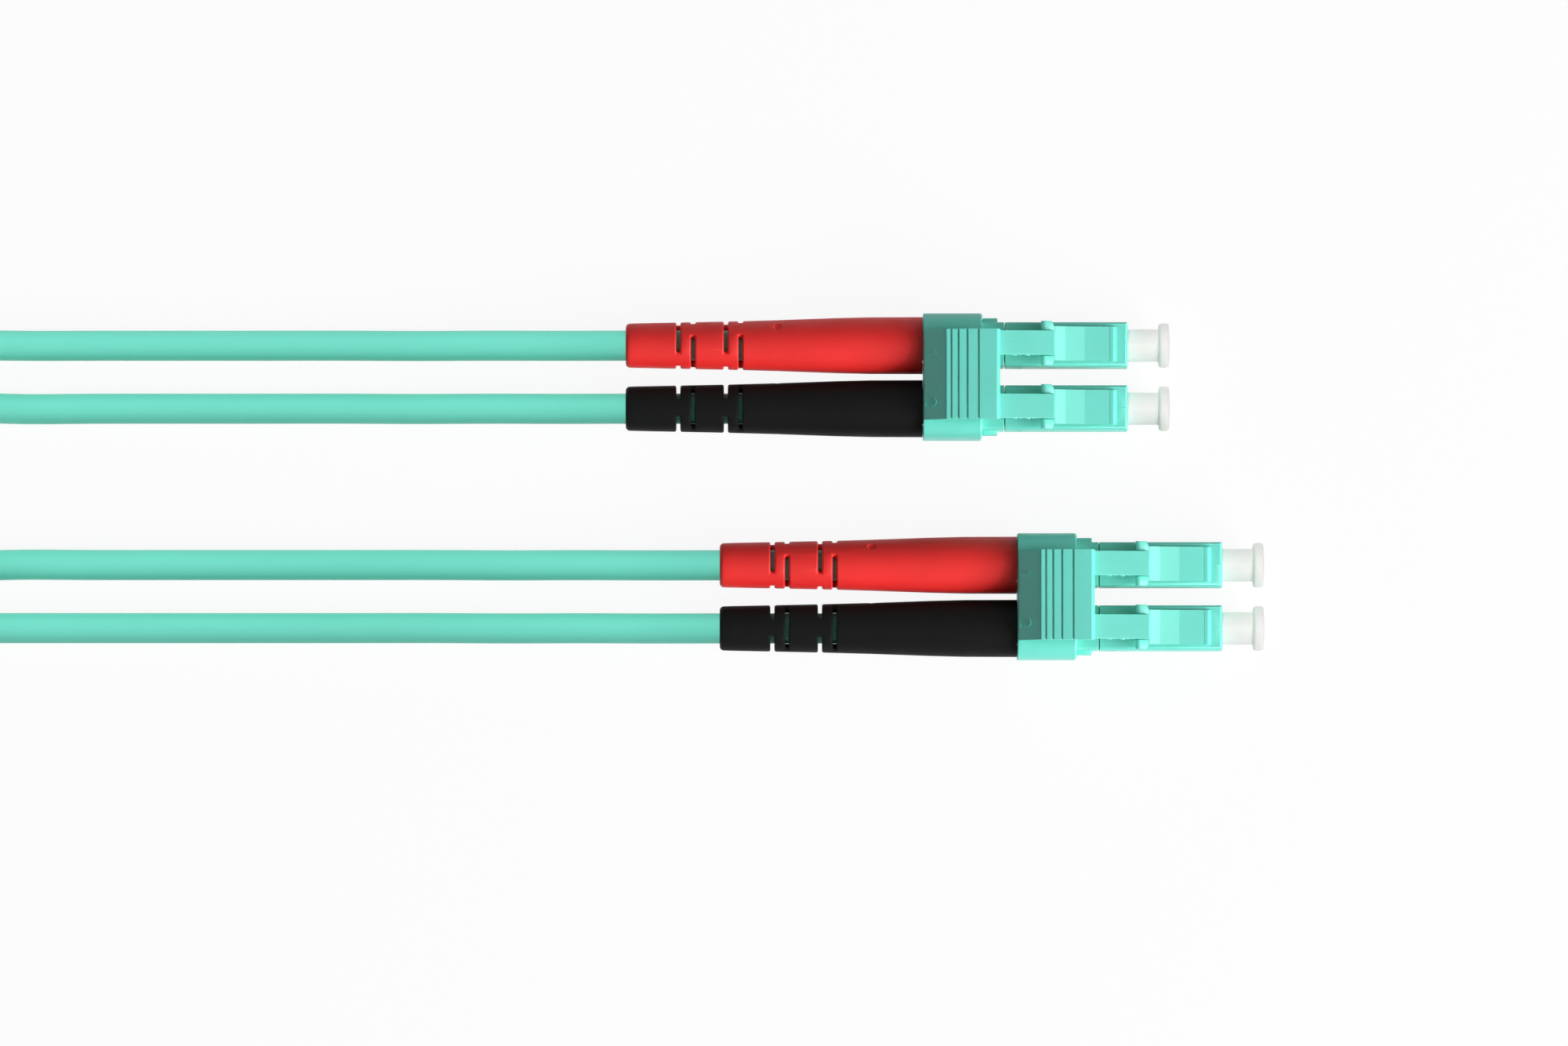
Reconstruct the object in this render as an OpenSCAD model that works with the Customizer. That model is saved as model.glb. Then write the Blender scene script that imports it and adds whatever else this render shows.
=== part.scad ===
// Duplex fibre patch cord: two twin plugs joined by two single-fibre legs.
// X runs along the plugs towards their tips, Z is up, and both plugs rest on z = 0.
// Each plug is built from its clip's rear face (x = 0) and each connector round its own axis.

/* [Layout] */
// Distance between the two ferrule axes of one plug
ferrule_pitch = 6.25; // [6.1:0.05:7]
// Distance between the centre lines of the two plugs
plug_spacing = 21.75; // [18:0.25:30]
// How far the second plug lies ahead of the first
stagger = 9.3; // [0:0.1:20]

/* [Connector housing] */
// Width and height of the square connector body
body_w = 4.4; // [4.3:0.05:4.8]
// Length of the front housing
housing_len = 12.1; // [11.5:0.1:14]
// Seam between the rear body and the front housing
seam = 0.1; // [0.05:0.01:0.2]
// Edge radius of the square bodies
body_edge = 0.3; // [0.1:0.05:0.4]
// Bore of the housing's nose, round the ferrule
nose_bore_d = 3.4; // [3.3:0.05:3.6]
// Depth of the nose bore
nose_bore_depth = 2.75; // [2:0.05:3.2]
// Thickness of the wall that the ferrule flange seats on
seat_wall = 0.6; // [0.4:0.05:1]
// Length of the snap window in the side of the front housing
window_len = 1; // [0.7:0.05:1.3]

/* [Rear body] */
// How far the rear body stands out between clip and front housing
body_reach = 2.15; // [1.8:0.05:3]
// Diameter of the spigot that plugs into the front housing
spigot_d = 3.3; // [3.2:0.05:3.5]
// Length of the spigot
spigot_len = 2.3; // [1.8:0.05:2.8]
// Depth of the spring's pocket in the spigot
spring_pocket = 1.8; // [1.2:0.05:2.2]
// How far each side ledge stands out
ledge_out = 0.45; // [0.2:0.05:0.6]
// Length of the side ledges
ledge_len = 1.45; // [1:0.05:1.6]
// Diameter of the crimp post
post_d = 2.1; // [1.9:0.05:2.3]
// Length of the crimp post behind the clip
post_len = 6; // [5:0.1:6.5]

/* [Ferrule] */
// Diameter of the ceramic ferrule
ferrule_d = 1.25; // [1.2:0.01:1.3]
// Length of the ceramic ferrule
ferrule_len = 6.5; // [6.3:0.05:6.8]
// How far the ferrule stands out of the front housing
ferrule_reach = 1.8; // [1.5:0.05:2.2]
// Diameter of the ferrule's flange
flange_d = 2.6; // [2.4:0.05:2.8]
// Length of the flange
flange_len = 1.5; // [1.4:0.05:2]
// Diameter of the flange's tail, inside the spring
tail_d = 1.5; // [1.4:0.05:1.6]
// Length of the flange's tail
tail_len = 4; // [3.5:0.1:4.4]
// How far the sprung ferrule can be pushed back
ferrule_travel = 1; // [0.5:0.1:1.2]

/* [Spring] */
// Outer diameter of the ferrule spring
spring_d = 2.35; // [2.3:0.05:2.45]
// Diameter of the spring's wire
spring_wire = 0.3; // [0.2:0.02:0.3]
// Number of turns in the spring
spring_turns = 6; // [4:1:7]

/* [Cord and crimp] */
// Outer diameter of each leg's jacket
cord_d = 3; // [2.8:0.1:3.2]
// Diameter of the buffered fibre
fibre_d = 0.9; // [0.8:0.05:1]
// Thickness of the yarn layer clamped on the crimp post
yarn_layer = 0.25; // [0.2:0.01:0.3]
// Wall of the crimp sleeve
crimp_wall = 0.3; // [0.2:0.02:0.4]
// Length of the crimp sleeve
crimp_len = 7; // [6.6:0.1:8]

/* [Boot] */
// Length of the strain-relief boot
boot_len = 29.35; // [24:0.05:34]
// Length of the boot's tapered part, from its tail
boot_taper_len = 23; // [20:0.1:24]
// Diameter of the boot at the clip
boot_front_d = 5.65; // [5.4:0.05:6]
// Diameter of the boot half way along its taper
boot_mid_d = 4.85; // [4.75:0.05:5]
// Diameter of the boot's tail
boot_tail_d = 4.4; // [4.1:0.05:4.7]
// Distance from the tail to the middle of the first slot
slot_start = 5.2; // [4:0.05:7]
// Distance between the two slots of a pair
slot_gap = 1.45; // [1.2:0.05:2]
// Distance from one pair of slots to the next
slot_period = 4.7; // [4:0.05:6]
// Number of pairs of slots
slot_pairs = 2; // [1:1:3]
// Width of each slot
slot_w = 0.4; // [0.3:0.02:0.6]
// Height of the web left between two opposite slots
slot_web = 1.8; // [1.4:0.05:2.2]

/* [Dust cap] */
// Diameter of the dust cap's neck
cap_neck_d = 3.2; // [2.9:0.05:3.25]
// Visible length of the neck
cap_neck_len = 3.1; // [2.6:0.05:4]
// Diameter of the cap's rim
cap_rim_d = 4.4; // [4:0.05:5]
// Thickness of the cap's rim
cap_rim = 1.1; // [0.8:0.05:1.6]

/* [Clip] */
// Length of the duplex clip
clip_len = 5.85; // [5:0.05:7]
// Side wall of the clip
clip_wall = 0.85; // [0.6:0.05:1]
// Floor of the clip, under the connector bodies
clip_floor = 1; // [0.8:0.05:1.2]
// Roof of the clip, over the connector bodies
clip_roof = 0.9; // [0.7:0.05:1.2]
// Rear wall of the clip, behind the connector bodies
clip_rear = 0.8; // [0.6:0.05:1.2]
// Corner radius of the clip
clip_corner = 1.6; // [0.8:0.1:2]

/* [Latch] */
// Width of the latch blade
latch_w = 3.4; // [3:0.05:3.6]
// Distance from the nose of the housing back to the latch's hinge
latch_setback = 2.15; // [2.05:0.05:2.4]
// Length of the latch from its hinge to the front of its ears
latch_len = 5.15; // [4.9:0.05:5.4]
// Height of the ears' top over the housing
latch_rise = 1.7; // [1.6:0.02:1.9]
// Width across the two ears
ear_w = 4.4; // [4:0.05:4.6]
// Length of the ears
ear_len = 1.2; // [0.9:0.05:1.3]
// Thickness of the ears
ear_thick = 0.65; // [0.5:0.05:0.65]
// Width of the latch's tail, under the trigger arm
latch_tail_w = 2; // [1.6:0.05:2.2]
// Length of the latch's tail
latch_tail_len = 2.4; // [1.8:0.05:2.4]

/* [Trigger] */
// Width of the ribbed trigger plate
trigger_w = 8.9; // [8.4:0.05:9.4]
// Length of the trigger plate, from its hinge end
trigger_len = 7.55; // [7:0.05:8.5]
// Height of the plate's top over the clip
trigger_rise = 2.85; // [2.75:0.05:3.4]
// Length of the sloping back of the trigger
ramp_len = 2.25; // [2:0.05:2.5]
// Length of the flat pad in front of the finger ribs
pad_len = 2.05; // [1.5:0.05:2.2]
// Number of finger ribs on the trigger
rib_count = 4; // [2:1:5]
// How much wider each finger rib is than the one behind it
rib_growth = 1.26; // [1.05:0.01:1.3]
// Depth of the grooves between the ribs
rib_depth = 0.2; // [0.1:0.02:0.3]
// Width of each trigger arm
arm_w = 2.4; // [2:0.05:2.6]
// Thickness of the trigger arms
arm_thick = 0.75; // [0.6:0.05:0.8]

/* [Hidden] */
fit = 0.05;          // clearance of pieces that seat in each other
slide_fit = 0.02;    // radial clearance on the ferrule
crimp_fit = 0.1;     // radial clearance of the boot over crimp and cord
play = 0.3;          // room round pieces that move or are pushed together by hand
arc_steps = 6;       // steps in a rounded corner
eps = 0.01;          // overrun of cuts

ENDS = ["end1", "end2"];
COLOURS = ["red", "black"];

// Heights, from the floor up to the connectors' axes
axis_z = clip_floor + fit + body_w / 2;
body_top = body_w / 2;                      // above the axis
clip_top = body_top + fit + clip_roof;      // above the axis

// Stations along a plug, from the clip's rear face
body_rear = clip_rear + fit;
body_front = clip_len + body_reach;
housing_rear = body_front + seam;
housing_front = housing_rear + housing_len;
spigot_end = body_front + spigot_len;
spring_seat = spigot_end - spring_pocket;
seat_front = housing_front - nose_bore_depth;
seat_rear = seat_front - seat_wall;
flange_front = seat_rear - fit;
flange_rear = flange_front - flange_len;
ferrule_tip = housing_front + ferrule_reach;
ferrule_rear = ferrule_tip - ferrule_len;
tail_end = flange_rear - tail_len;
fibre_grip = 0.7;                           // of the fibre, left in the tail by the full travel
fibre_front = tail_end + ferrule_travel + fibre_grip;
collar_end = -0.35;                         // the collar stands out behind the clip
crimp_front = collar_end - fit;
crimp_rear = crimp_front - crimp_len;
jacket_end = crimp_rear - fit;
cap_rim_rear = housing_front + cap_neck_len;
cap_end = cap_rim_rear + cap_rim;
cap_mouth = seat_front + play;

// Round sizes that follow from their neighbours
collar_d = cord_d;
post_bore_d = fibre_d + 4 * fit;
yarn_d = post_d + 2 * yarn_layer;
crimp_bore_d = yarn_d + fit;
crimp_d = crimp_bore_d + 2 * crimp_wall;
boot_bore_d = cord_d + 2 * crimp_fit;
boot_socket_d = crimp_d + 2 * crimp_fit;
boot_step = crimp_rear - 2 * crimp_fit;
pocket_d = spring_d + 4 * fit;
cavity_d = flange_d + play;

// Latch: hinge barrel on the housing's top, near its front
hinge_r = 0.3;
latch_pivot_x = housing_front - latch_setback;
latch_pivot_z = body_top + fit + hinge_r;
latch_top = body_top + latch_rise;
ear_front = latch_pivot_x - latch_len;
ear_rear = ear_front - ear_len;
latch_tail_x = ear_rear - latch_tail_len;
tail_lift = 0.35;
tail_thick = 0.55;
root_len = 0.35;      // of the moulded root, in front of the hinge
root_slope = 0.35;    // of its front face
blade_knee = 0.43;    // share of the latch's length at which the blade steepens
blade_top = 0.8;      // share at which it reaches the ears' step
knee_rise = 0.22;
ear_step = 0.4;
ear_slope = 0.35;

// Trigger: hinge barrel on the clip's top, at its rear
barrel_r = 0.45;
trigger_pivot_x = barrel_r + fit;
trigger_pivot_z = clip_top + fit + barrel_r;
plate_top = clip_top + trigger_rise;
plate_thick = 1;
arm_gap = 0.15;
arm_tip_x = ear_front;
arm_step = 0.6;
rib_rise = 0.55;
rib_groove = 0.14;    // width of the grooves between the ribs
pad_front = 0.3;      // the sloping front edge of the pad

// Places of the two plugs and their connectors
plug_len = boot_len + fit + cap_end;
end_x = [for (e = [0, 1]) boot_len + fit - (plug_len + stagger) / 2 + e * stagger];
end_y = [plug_spacing / 2, -plug_spacing / 2];
side = [1, -1];
boot_turn = [45, 0];

// Cord routes on their own points, from crimp to hank
leg1_at_end1 = [
    [-9.6, 14, 3.25], [-17, 14, 3.25], [-24, 14, 3.25], [-31.5, 14, 3.25], [-38, 14, 3],
    [-45, 14.05, 2.4], [-52, 14.05, 1.9], [-60, 14.1, 1.6], [-68, 14.1, 1.5], [-76, 14.1, 1.5],
    [-84, 14.1, 1.5], [-92, 14.1, 1.5], [-100, 14.3, 1.5], [-108, 15, 1.5], [-116, 16.1, 1.5],
    [-124, 17, 1.5], [-130, 17.3, 1.5], [-134, 17.3, 1.5]];
leg2_at_end1 = [
    [-9.6, 7.75, 3.25], [-17, 7.75, 3.25], [-24, 7.75, 3.25], [-31.5, 7.75, 3.25], [-38, 7.75, 3],
    [-45, 7.8, 2.4], [-52, 7.8, 1.9], [-60, 7.85, 1.6], [-68, 7.85, 1.5], [-76, 7.85, 1.5],
    [-84, 7.85, 1.5], [-93, 7.85, 1.5], [-100, 8.5, 1.9], [-108, 10.9, 2.9], [-116, 13.9, 4.4],
    [-124, 16.7, 5.1], [-130, 17.3, 5.1], [-134, 17.3, 5.1]];
leg1_at_end2 = [
    [-0.3, -14, 3.25], [-7.5, -14, 3.25], [-15, -14, 3.25], [-22.2, -14, 3.25], [-29, -14, 3],
    [-36, -13.95, 2.4], [-43, -13.95, 1.9], [-51, -13.9, 1.6], [-59, -13.9, 1.5], [-67, -13.9, 1.5],
    [-75, -13.9, 1.5], [-84, -13.9, 1.5], [-93, -13.9, 1.5], [-101, -13.95, 2], [-108, -14.2, 3.2],
    [-115, -14.7, 5.2], [-122, -15.1, 7.4], [-128, -15.4, 8.5], [-131, -15.45, 8.7], [-134, -15.45, 8.7]];
leg2_at_end2 = [
    [-0.3, -7.75, 3.25], [-7.5, -7.75, 3.25], [-15, -7.75, 3.25], [-22.2, -7.75, 3.25], [-29, -7.75, 3],
    [-36, -7.7, 2.4], [-43, -7.7, 1.9], [-51, -7.65, 1.6], [-59, -7.65, 1.5], [-67, -7.65, 1.5],
    [-75, -7.65, 1.5], [-84, -7.65, 1.5], [-93, -7.65, 1.6], [-101, -8.2, 2.8], [-108, -9.8, 5.2],
    [-115, -11.9, 8.2], [-122, -14, 10.9], [-128, -15.3, 12.1], [-131, -15.45, 12.3], [-134, -15.45, 12.3]];

// Hank: flat loops with straight runs, drawn in at the waist, in along two layers and out along two
hank_x = -134;          // where the stretches meet the hank
hank_lead = 3;          // straight start and end of the hank
hank_run = 46;          // length of each straight run
hank_runs = 8;          // runs along each leg, top and bottom in turn
hank_turn_in = 4;       // the run along which the spiral reverses and climbs
hank_inner = 9.9;       // half width of the innermost run
hank_step = 3.7;        // distance between neighbouring loops
layer_step = 3.6;       // height of a layer
hank_waist = 5.5;       // how far the waist is drawn in
hank_lift = 1.3;        // how far the tie lifts the waist
cord_z = 1.5;           // lowest centre line
ring_steps = 6;         // rings in a run, and in a half turn
spring_rings = 8;
tie_len = 12;
tie_thick = 0.8;
tie_corner = 2.4;

// ---- outlines ----

function arc(cx, cy, r, a0, a1, n = arc_steps) =
    [for (i = [0:n]) [cx + r * cos(a0 + (a1 - a0) * i / n), cy + r * sin(a0 + (a1 - a0) * i / n)]];

function rounded_box(w, h, r) = concat(
    arc(w / 2 - r, h / 2 - r, r, 0, 90), arc(r - w / 2, h / 2 - r, r, 90, 180),
    arc(r - w / 2, r - h / 2, r, 180, 270), arc(w / 2 - r, r - h / 2, r, 270, 360));

// An outline in (Y, Z) drawn out along X, and one in (X, Z) drawn out along Y, centred on y = 0
module along_x(x0, x1) { translate([x0, 0, 0]) rotate([90, 0, 90]) linear_extrude(x1 - x0) children(); }
module along_y(w) { translate([0, w / 2, 0]) rotate([90, 0, 0]) linear_extrude(w) children(); }

module rod(d, x0, x1, fn = 48) { translate([x0, 0, 0]) rotate([0, 90, 0]) cylinder(d = d, h = x1 - x0, $fn = fn); }
module pipe(d, bore, x0, x1) {
    difference() {
        rod(d, x0, x1);
        rod(bore, x0 - eps, x1 + eps);
    }
}
module slab(x0, x1, y0, y1, z0, z1) { translate([x0, y0, z0]) cube([x1 - x0, y1 - y0, z1 - z0]); }
module turned(outline) { rotate([0, 90, 0]) rotate_extrude($fn = 64) polygon(outline); }

// ---- tubes swept along points ----

function unit(v) = v / norm(v);
function heading(path, i) = unit(path[min(i + 1, len(path) - 1)] - path[max(i - 1, 0)]);
function corner(p, d, up, r, sides, k) =
    let (u = unit(cross(up, d)), v = cross(d, u), a = 360 * (k + (sides % 4 == 0 ? 0.5 : 0)) / sides)
    p + r * (cos(a) * u + sin(a) * v);

module tube(path, d, sides, up = [0, 0, 1]) {
    n = len(path);
    last = (n - 1) * sides;
    skin = [for (i = [0:n - 1], k = [0:sides - 1]) corner(path[i], heading(path, i), up, d / 2, sides, k)];
    walls = [for (i = [0:n - 2], k = [0:sides - 1], half = [0, 1])
        let (a = i * sides + k, b = i * sides + (k + 1) % sides)
        half == 0 ? [a, b, b + sides] : [a, b + sides, a + sides]];
    caps = [for (k = [1:sides - 2], last_cap = [0, 1])
        last_cap == 0 ? [0, k + 1, k] : [last, last + k, last + k + 1]];
    polyhedron(points = skin, faces = concat(walls, caps), convexity = 10);
}

// ---- the hank's centre line ----

// Half width of run u: it narrows by half a step each run, and widens again after the reversal
function half_width(u) = hank_inner + hank_step / 2 * abs(u - hank_turn_in);
function top_or_bottom(u) = u % 2 == 0 ? 1 : -1;
function waist(t) = (1 - cos(360 * t)) / 2;
function climb(u, t) = u < hank_turn_in ? 0 : u > hank_turn_in ? 1 : (1 - cos(180 * t)) / 2;
function run_point(u, t) = [
    hank_x - hank_lead - hank_run * (u % 2 == 0 ? t : 1 - t),
    top_or_bottom(u) * (half_width(u) - hank_waist * waist(t)),
    cord_z + 2 * layer_step * climb(u, t) + hank_lift * waist(t)];
function bend_point(u, t) =
    let (a = run_point(u, 1), b = run_point(u + 1, 0), r = abs(a[1] - b[1]) / 2,
        way = u % 2 == 0 ? -1 : 1, turn = top_or_bottom(u) * 180 * t)
    [a[0] + way * r * abs(sin(turn)), (a[1] + b[1]) / 2 + (a[1] - b[1]) / 2 * cos(turn), a[2]];
function hank_path(layer) =
    let (lift = [0, 0, layer * layer_step], start = run_point(0, 0), end = run_point(hank_runs - 1, 1))
    [for (p = concat(
        [[hank_x, start[1], start[2]]],
        [for (u = [0:hank_runs - 1], i = [0:2 * ring_steps - 1])
            if (i < ring_steps || u < hank_runs - 1)
                i < ring_steps ? run_point(u, i / ring_steps) : bend_point(u, i / ring_steps - 1)],
        [end, [hank_x, end[1], end[2]]])) p + lift];

function off_line(p, a, b) = let (s = max(0, min(1, (p - a) * (b - a) / ((b - a) * (b - a))))) norm(p - a - s * (b - a));
function least_gap(path, away) = min([for (i = [0:len(path) - 1], j = [0:len(path) - 2])
    if (abs(i - j) > away) off_line(path[i], path[j], path[j + 1])]) - cord_d;
function route_length(path) = [for (i = 0, s = 0; i < len(path);
    s = s + (i < len(path) - 1 ? norm(path[i + 1] - path[i]) : 0), i = i + 1) s][len(path) - 1];

// ---- connector pieces, round the connector's own axis ----

TEAL = [0.33, 0.78, 0.71];
AQUA = [0.47, 0.88, 0.79];

module front_housing() color(TEAL) {
    edge = 0.25;
    root_x = latch_pivot_x + hinge_r + fit;
    plan = [[housing_rear, -body_top], [housing_front - edge, -body_top], [housing_front, edge - body_top],
        [housing_front, body_top - edge], [housing_front - edge, body_top], [housing_rear, body_top]];
    difference() {
        union() {
            intersection() {
                along_x(housing_rear, housing_front) polygon(rounded_box(body_w, body_w, body_edge));
                along_y(body_w + 1) polygon(plan);
            }
            along_y(latch_w) polygon([
                [root_x, body_top - eps], [root_x, latch_pivot_z + hinge_r],
                [root_x + root_len, latch_pivot_z + hinge_r], [root_x + root_len + root_slope, body_top - eps]]);
        }
        rod(spigot_d + 2 * fit, housing_rear - eps, spigot_end + 4 * fit);
        rod(cavity_d, housing_rear, seat_rear);
        rod(ferrule_d + 2 * play, seat_rear - eps, seat_front + eps);
        rod(nose_bore_d, seat_front, housing_front + eps);
        for (s = side) snap_window(s);
    }
}

module snap_window(s) {
    mid = housing_rear + spigot_len / 2;
    translate([mid, s * body_w / 2, 0]) cube([window_len, body_w / 2, 1.2], center = true);
}

module rear_body() color(TEAL) {
    tooth_top = (body_w - 2 * fit) / 2 - 0.1;
    difference() {
        union() {
            along_x(body_rear, body_front) polygon(rounded_box(body_w, body_w, body_edge));
            slab(clip_len + fit, clip_len + fit + ledge_len,
                -body_top - ledge_out, body_top + ledge_out, -body_w / 4, body_w / 4);
            rod(spigot_d, body_front - eps, spigot_end);
            rod(collar_d, collar_end, body_rear + eps);
            rod(post_d, -post_len, 0);
            slab(housing_rear + (spigot_len - window_len) / 2 + 2 * fit,
                housing_rear + (spigot_len + window_len) / 2 - 2 * fit,
                -tooth_top, tooth_top, -0.5, 0.5);
        }
        rod(post_bore_d, -post_len - eps, spring_seat + eps);
        rod(pocket_d, spring_seat, spigot_end + eps);
    }
}

module ferrule() color("whitesmoke") {
    bevel = 0.15;
    turned([[0, ferrule_rear], [ferrule_d / 2, ferrule_rear], [ferrule_d / 2, ferrule_tip - bevel],
        [ferrule_d / 2 - bevel, ferrule_tip], [0, ferrule_tip]]);
}

module ferrule_flange() color("silver") {
    difference() {
        union() {
            rod(flange_d, flange_rear, flange_front);
            rod(tail_d, tail_end, flange_rear + eps);
        }
        rod(ferrule_d + 2 * slide_fit, ferrule_rear - fit, flange_front + eps);
        rod(fibre_d + 2 * fit, tail_end - eps, ferrule_rear);
    }
}

module spring() color("gray") {
    coil_r = (spring_d - spring_wire) / 2;
    start = spring_seat + spring_wire / 2 + fit;
    rise = flange_rear - spring_wire / 2 - fit - start;
    steps = spring_turns * spring_rings;
    tube([for (i = [0:steps]) let (a = 360 * i / spring_rings)
        [start + rise * i / steps, coil_r * cos(a), coil_r * sin(a)]], spring_wire, 6, [1, 0, 0]);
}

module fibre() color(AQUA) rod(fibre_d, jacket_end, fibre_front);

module aramid_yarn() color("gold") pipe(yarn_d, post_d + fit, crimp_rear, crimp_front - fit);

module crimp_sleeve() color("silver") pipe(crimp_d, crimp_bore_d, crimp_rear, crimp_front);

module boot(shade, turn) color(shade) {
    tail = -boot_len - fit;
    round_r = 0.4;
    outline = concat(
        [[0, -fit], [boot_front_d / 2, -fit], [boot_front_d / 2, tail + boot_taper_len],
            [boot_mid_d / 2, tail + boot_taper_len / 2]],
        [for (p = arc(boot_tail_d / 2 - round_r, tail + round_r, round_r, 0, -90, 4)) p],
        [[0, tail]]);
    difference() {
        turned(outline);
        rod(boot_bore_d, tail - eps, 0);
        rod(boot_socket_d, boot_step, eps);
        rotate([turn, 0, 0])
        for (pair = [0:slot_pairs - 1], cross_slot = [0, 1], s = side)
            rotate([cross_slot * 90, 0, 0])
            translate([tail + slot_start + pair * slot_period + cross_slot * slot_gap, s * (slot_web / 2 + 2), 0])
            cube([slot_w, 4, boot_front_d], center = true);
    }
}

module dust_cap() color("white") {
    round_r = cap_rim * 0.3;
    outline = concat(
        [[0, cap_mouth], [cap_neck_d / 2, cap_mouth], [cap_neck_d / 2, cap_rim_rear]],
        arc(cap_rim_d / 2 - round_r, cap_rim_rear + round_r, round_r, -90, 0, 4),
        arc(cap_rim_d / 2 - round_r, cap_end - round_r, round_r, 0, 90, 4),
        [[0, cap_end]]);
    difference() {
        turned(outline);
        rod(ferrule_d + 2 * slide_fit, cap_mouth - eps, ferrule_tip + play);
    }
}

module latch() color(TEAL) {
    barrel_top = latch_pivot_z + hinge_r;
    under = latch_pivot_z - hinge_r;
    ear_under = latch_top - ear_thick;
    blade = [[latch_pivot_x, under], [latch_pivot_x + hinge_r, latch_pivot_z],
        [latch_pivot_x + hinge_r, barrel_top],
        [latch_pivot_x - blade_knee * latch_len, barrel_top + knee_rise],
        [latch_pivot_x - blade_top * latch_len, latch_top - ear_step],
        [ear_front + 0.1, latch_top], [ear_rear, latch_top], [ear_rear, ear_under], [ear_front, ear_under]];
    tail = [[ear_rear + eps, ear_under], [ear_rear + eps, latch_top],
        [latch_tail_x, latch_top + tail_lift], [latch_tail_x, latch_top + tail_lift - tail_thick]];
    ears = [[ear_rear, -ear_w / 2], [ear_front - ear_slope, -ear_w / 2], [ear_front, -latch_w / 2],
        [ear_front, latch_w / 2], [ear_front - ear_slope, ear_w / 2], [ear_rear, ear_w / 2]];
    along_y(latch_w) polygon(blade);
    along_y(latch_tail_w) polygon(tail);
    translate([0, 0, ear_under]) linear_extrude(ear_thick) polygon(ears);
    translate([latch_pivot_x, latch_w / 2, latch_pivot_z])
        rotate([90, 0, 0]) cylinder(r = hinge_r, h = latch_w, $fn = 32);
}

// ---- plug pieces, round the middle of the plug, at the connectors' height ----

module clip() color(TEAL) {
    channel = body_w + 2 * fit;
    slot = cord_d + 4 * fit;
    clip_w = ferrule_pitch + channel + 2 * clip_wall;
    clip_h = clip_top + axis_z;
    difference() {
        translate([0, 0, clip_h / 2 - axis_z])
            along_x(0, clip_len) polygon(rounded_box(clip_w, clip_h, clip_corner));
        for (s = side) translate([0, s * ferrule_pitch / 2, 0]) {
            slab(clip_rear, clip_len + eps, -channel / 2, channel / 2, -channel / 2, channel / 2);
            slab(-eps, clip_len + eps, -slot / 2, slot / 2, -axis_z - eps, 0);
            rod(slot, -eps, clip_rear + eps);
        }
    }
}

// Where finger rib i starts: each rib is wider than the one behind it, and the last ends at the pad
function rib_x(i) = ramp_len + (trigger_len - pad_len - ramp_len)
    * (pow(rib_growth, i) - 1) / (pow(rib_growth, rib_count) - 1);

module trigger() color(TEAL) {
    arm_root_top = plate_top - arm_step;
    arm_tip_top = latch_top + arm_gap + arm_thick;
    ramp_top = plate_top - rib_rise;
    under = plate_top - plate_thick;
    ribs = [for (i = [0:rib_count - 1], at = [[0, 0, 0], [1, -rib_groove, 0], [1, -rib_groove, -rib_depth],
        [1, 0, -rib_depth]]) [rib_x(i + at[0]) + at[1], ramp_top + rib_rise * (i + 1) / rib_count + at[2]]];
    plate = concat(
        [[0.05, trigger_pivot_z + 0.2], [ramp_len, ramp_top]], ribs,
        [[trigger_len - pad_len, plate_top], [trigger_len - pad_front, plate_top], [trigger_len, arm_root_top]],
        [[trigger_len, under], [ramp_len + 0.85, under], [trigger_pivot_x + 0.35, trigger_pivot_z - 0.25]]);
    arm = [[trigger_len - 1, arm_root_top], [trigger_len, arm_root_top], [arm_tip_x, arm_tip_top],
        [arm_tip_x, latch_top + arm_gap], [trigger_len, arm_root_top - arm_thick],
        [trigger_len - 1, arm_root_top - arm_thick]];
    along_y(trigger_w) polygon(plate);
    translate([trigger_pivot_x, trigger_w / 2, trigger_pivot_z])
        rotate([90, 0, 0]) cylinder(r = barrel_r, h = trigger_w, $fn = 32);
    for (s = side) translate([0, s * ferrule_pitch / 2, 0]) along_y(arm_w) polygon(arm);
}

// ---- cords ----

module leg(path) color(AQUA) tube(path, cord_d, 8);

module hank(layer) color(AQUA) {
    path = hank_path(layer);
    echo(least_gap_of_hank = least_gap(path, ring_steps), length_of_hank = route_length(path));
    tube(path, cord_d, 6);
}

module hank_tie() color("dimgray") {
    edge = waist(0.5 - tie_len / 2 / hank_run);
    top_side = half_width(0) - hank_waist * edge + cord_d / 2 + 0.3;
    bottom_side = half_width(hank_runs - 1) - hank_waist * edge + cord_d / 2 + 0.3;
    top = cord_z + 3 * layer_step + hank_lift + cord_d / 2 + 0.2;
    mid = [(top_side - bottom_side) / 2, (top + tie_thick) / 2];
    middle = hank_x - hank_lead - hank_run / 2;
    w = top_side + bottom_side;
    h = top - tie_thick;
    translate([0, mid[0], mid[1]]) difference() {
        along_x(middle - tie_len / 2, middle + tie_len / 2)
            polygon(rounded_box(w + 2 * tie_thick, h + 2 * tie_thick, tie_corner));
        along_x(middle - tie_len, middle + tie_len) polygon(rounded_box(w, h, tie_corner - tie_thick));
    }
}

// ---- assembly ----

module at_connector(e, c) {
    translate([end_x[e], end_y[e] + side[c] * ferrule_pitch / 2, axis_z]) children();
}
module at_plug(e) { translate([end_x[e], end_y[e], axis_z]) children(); }

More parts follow.
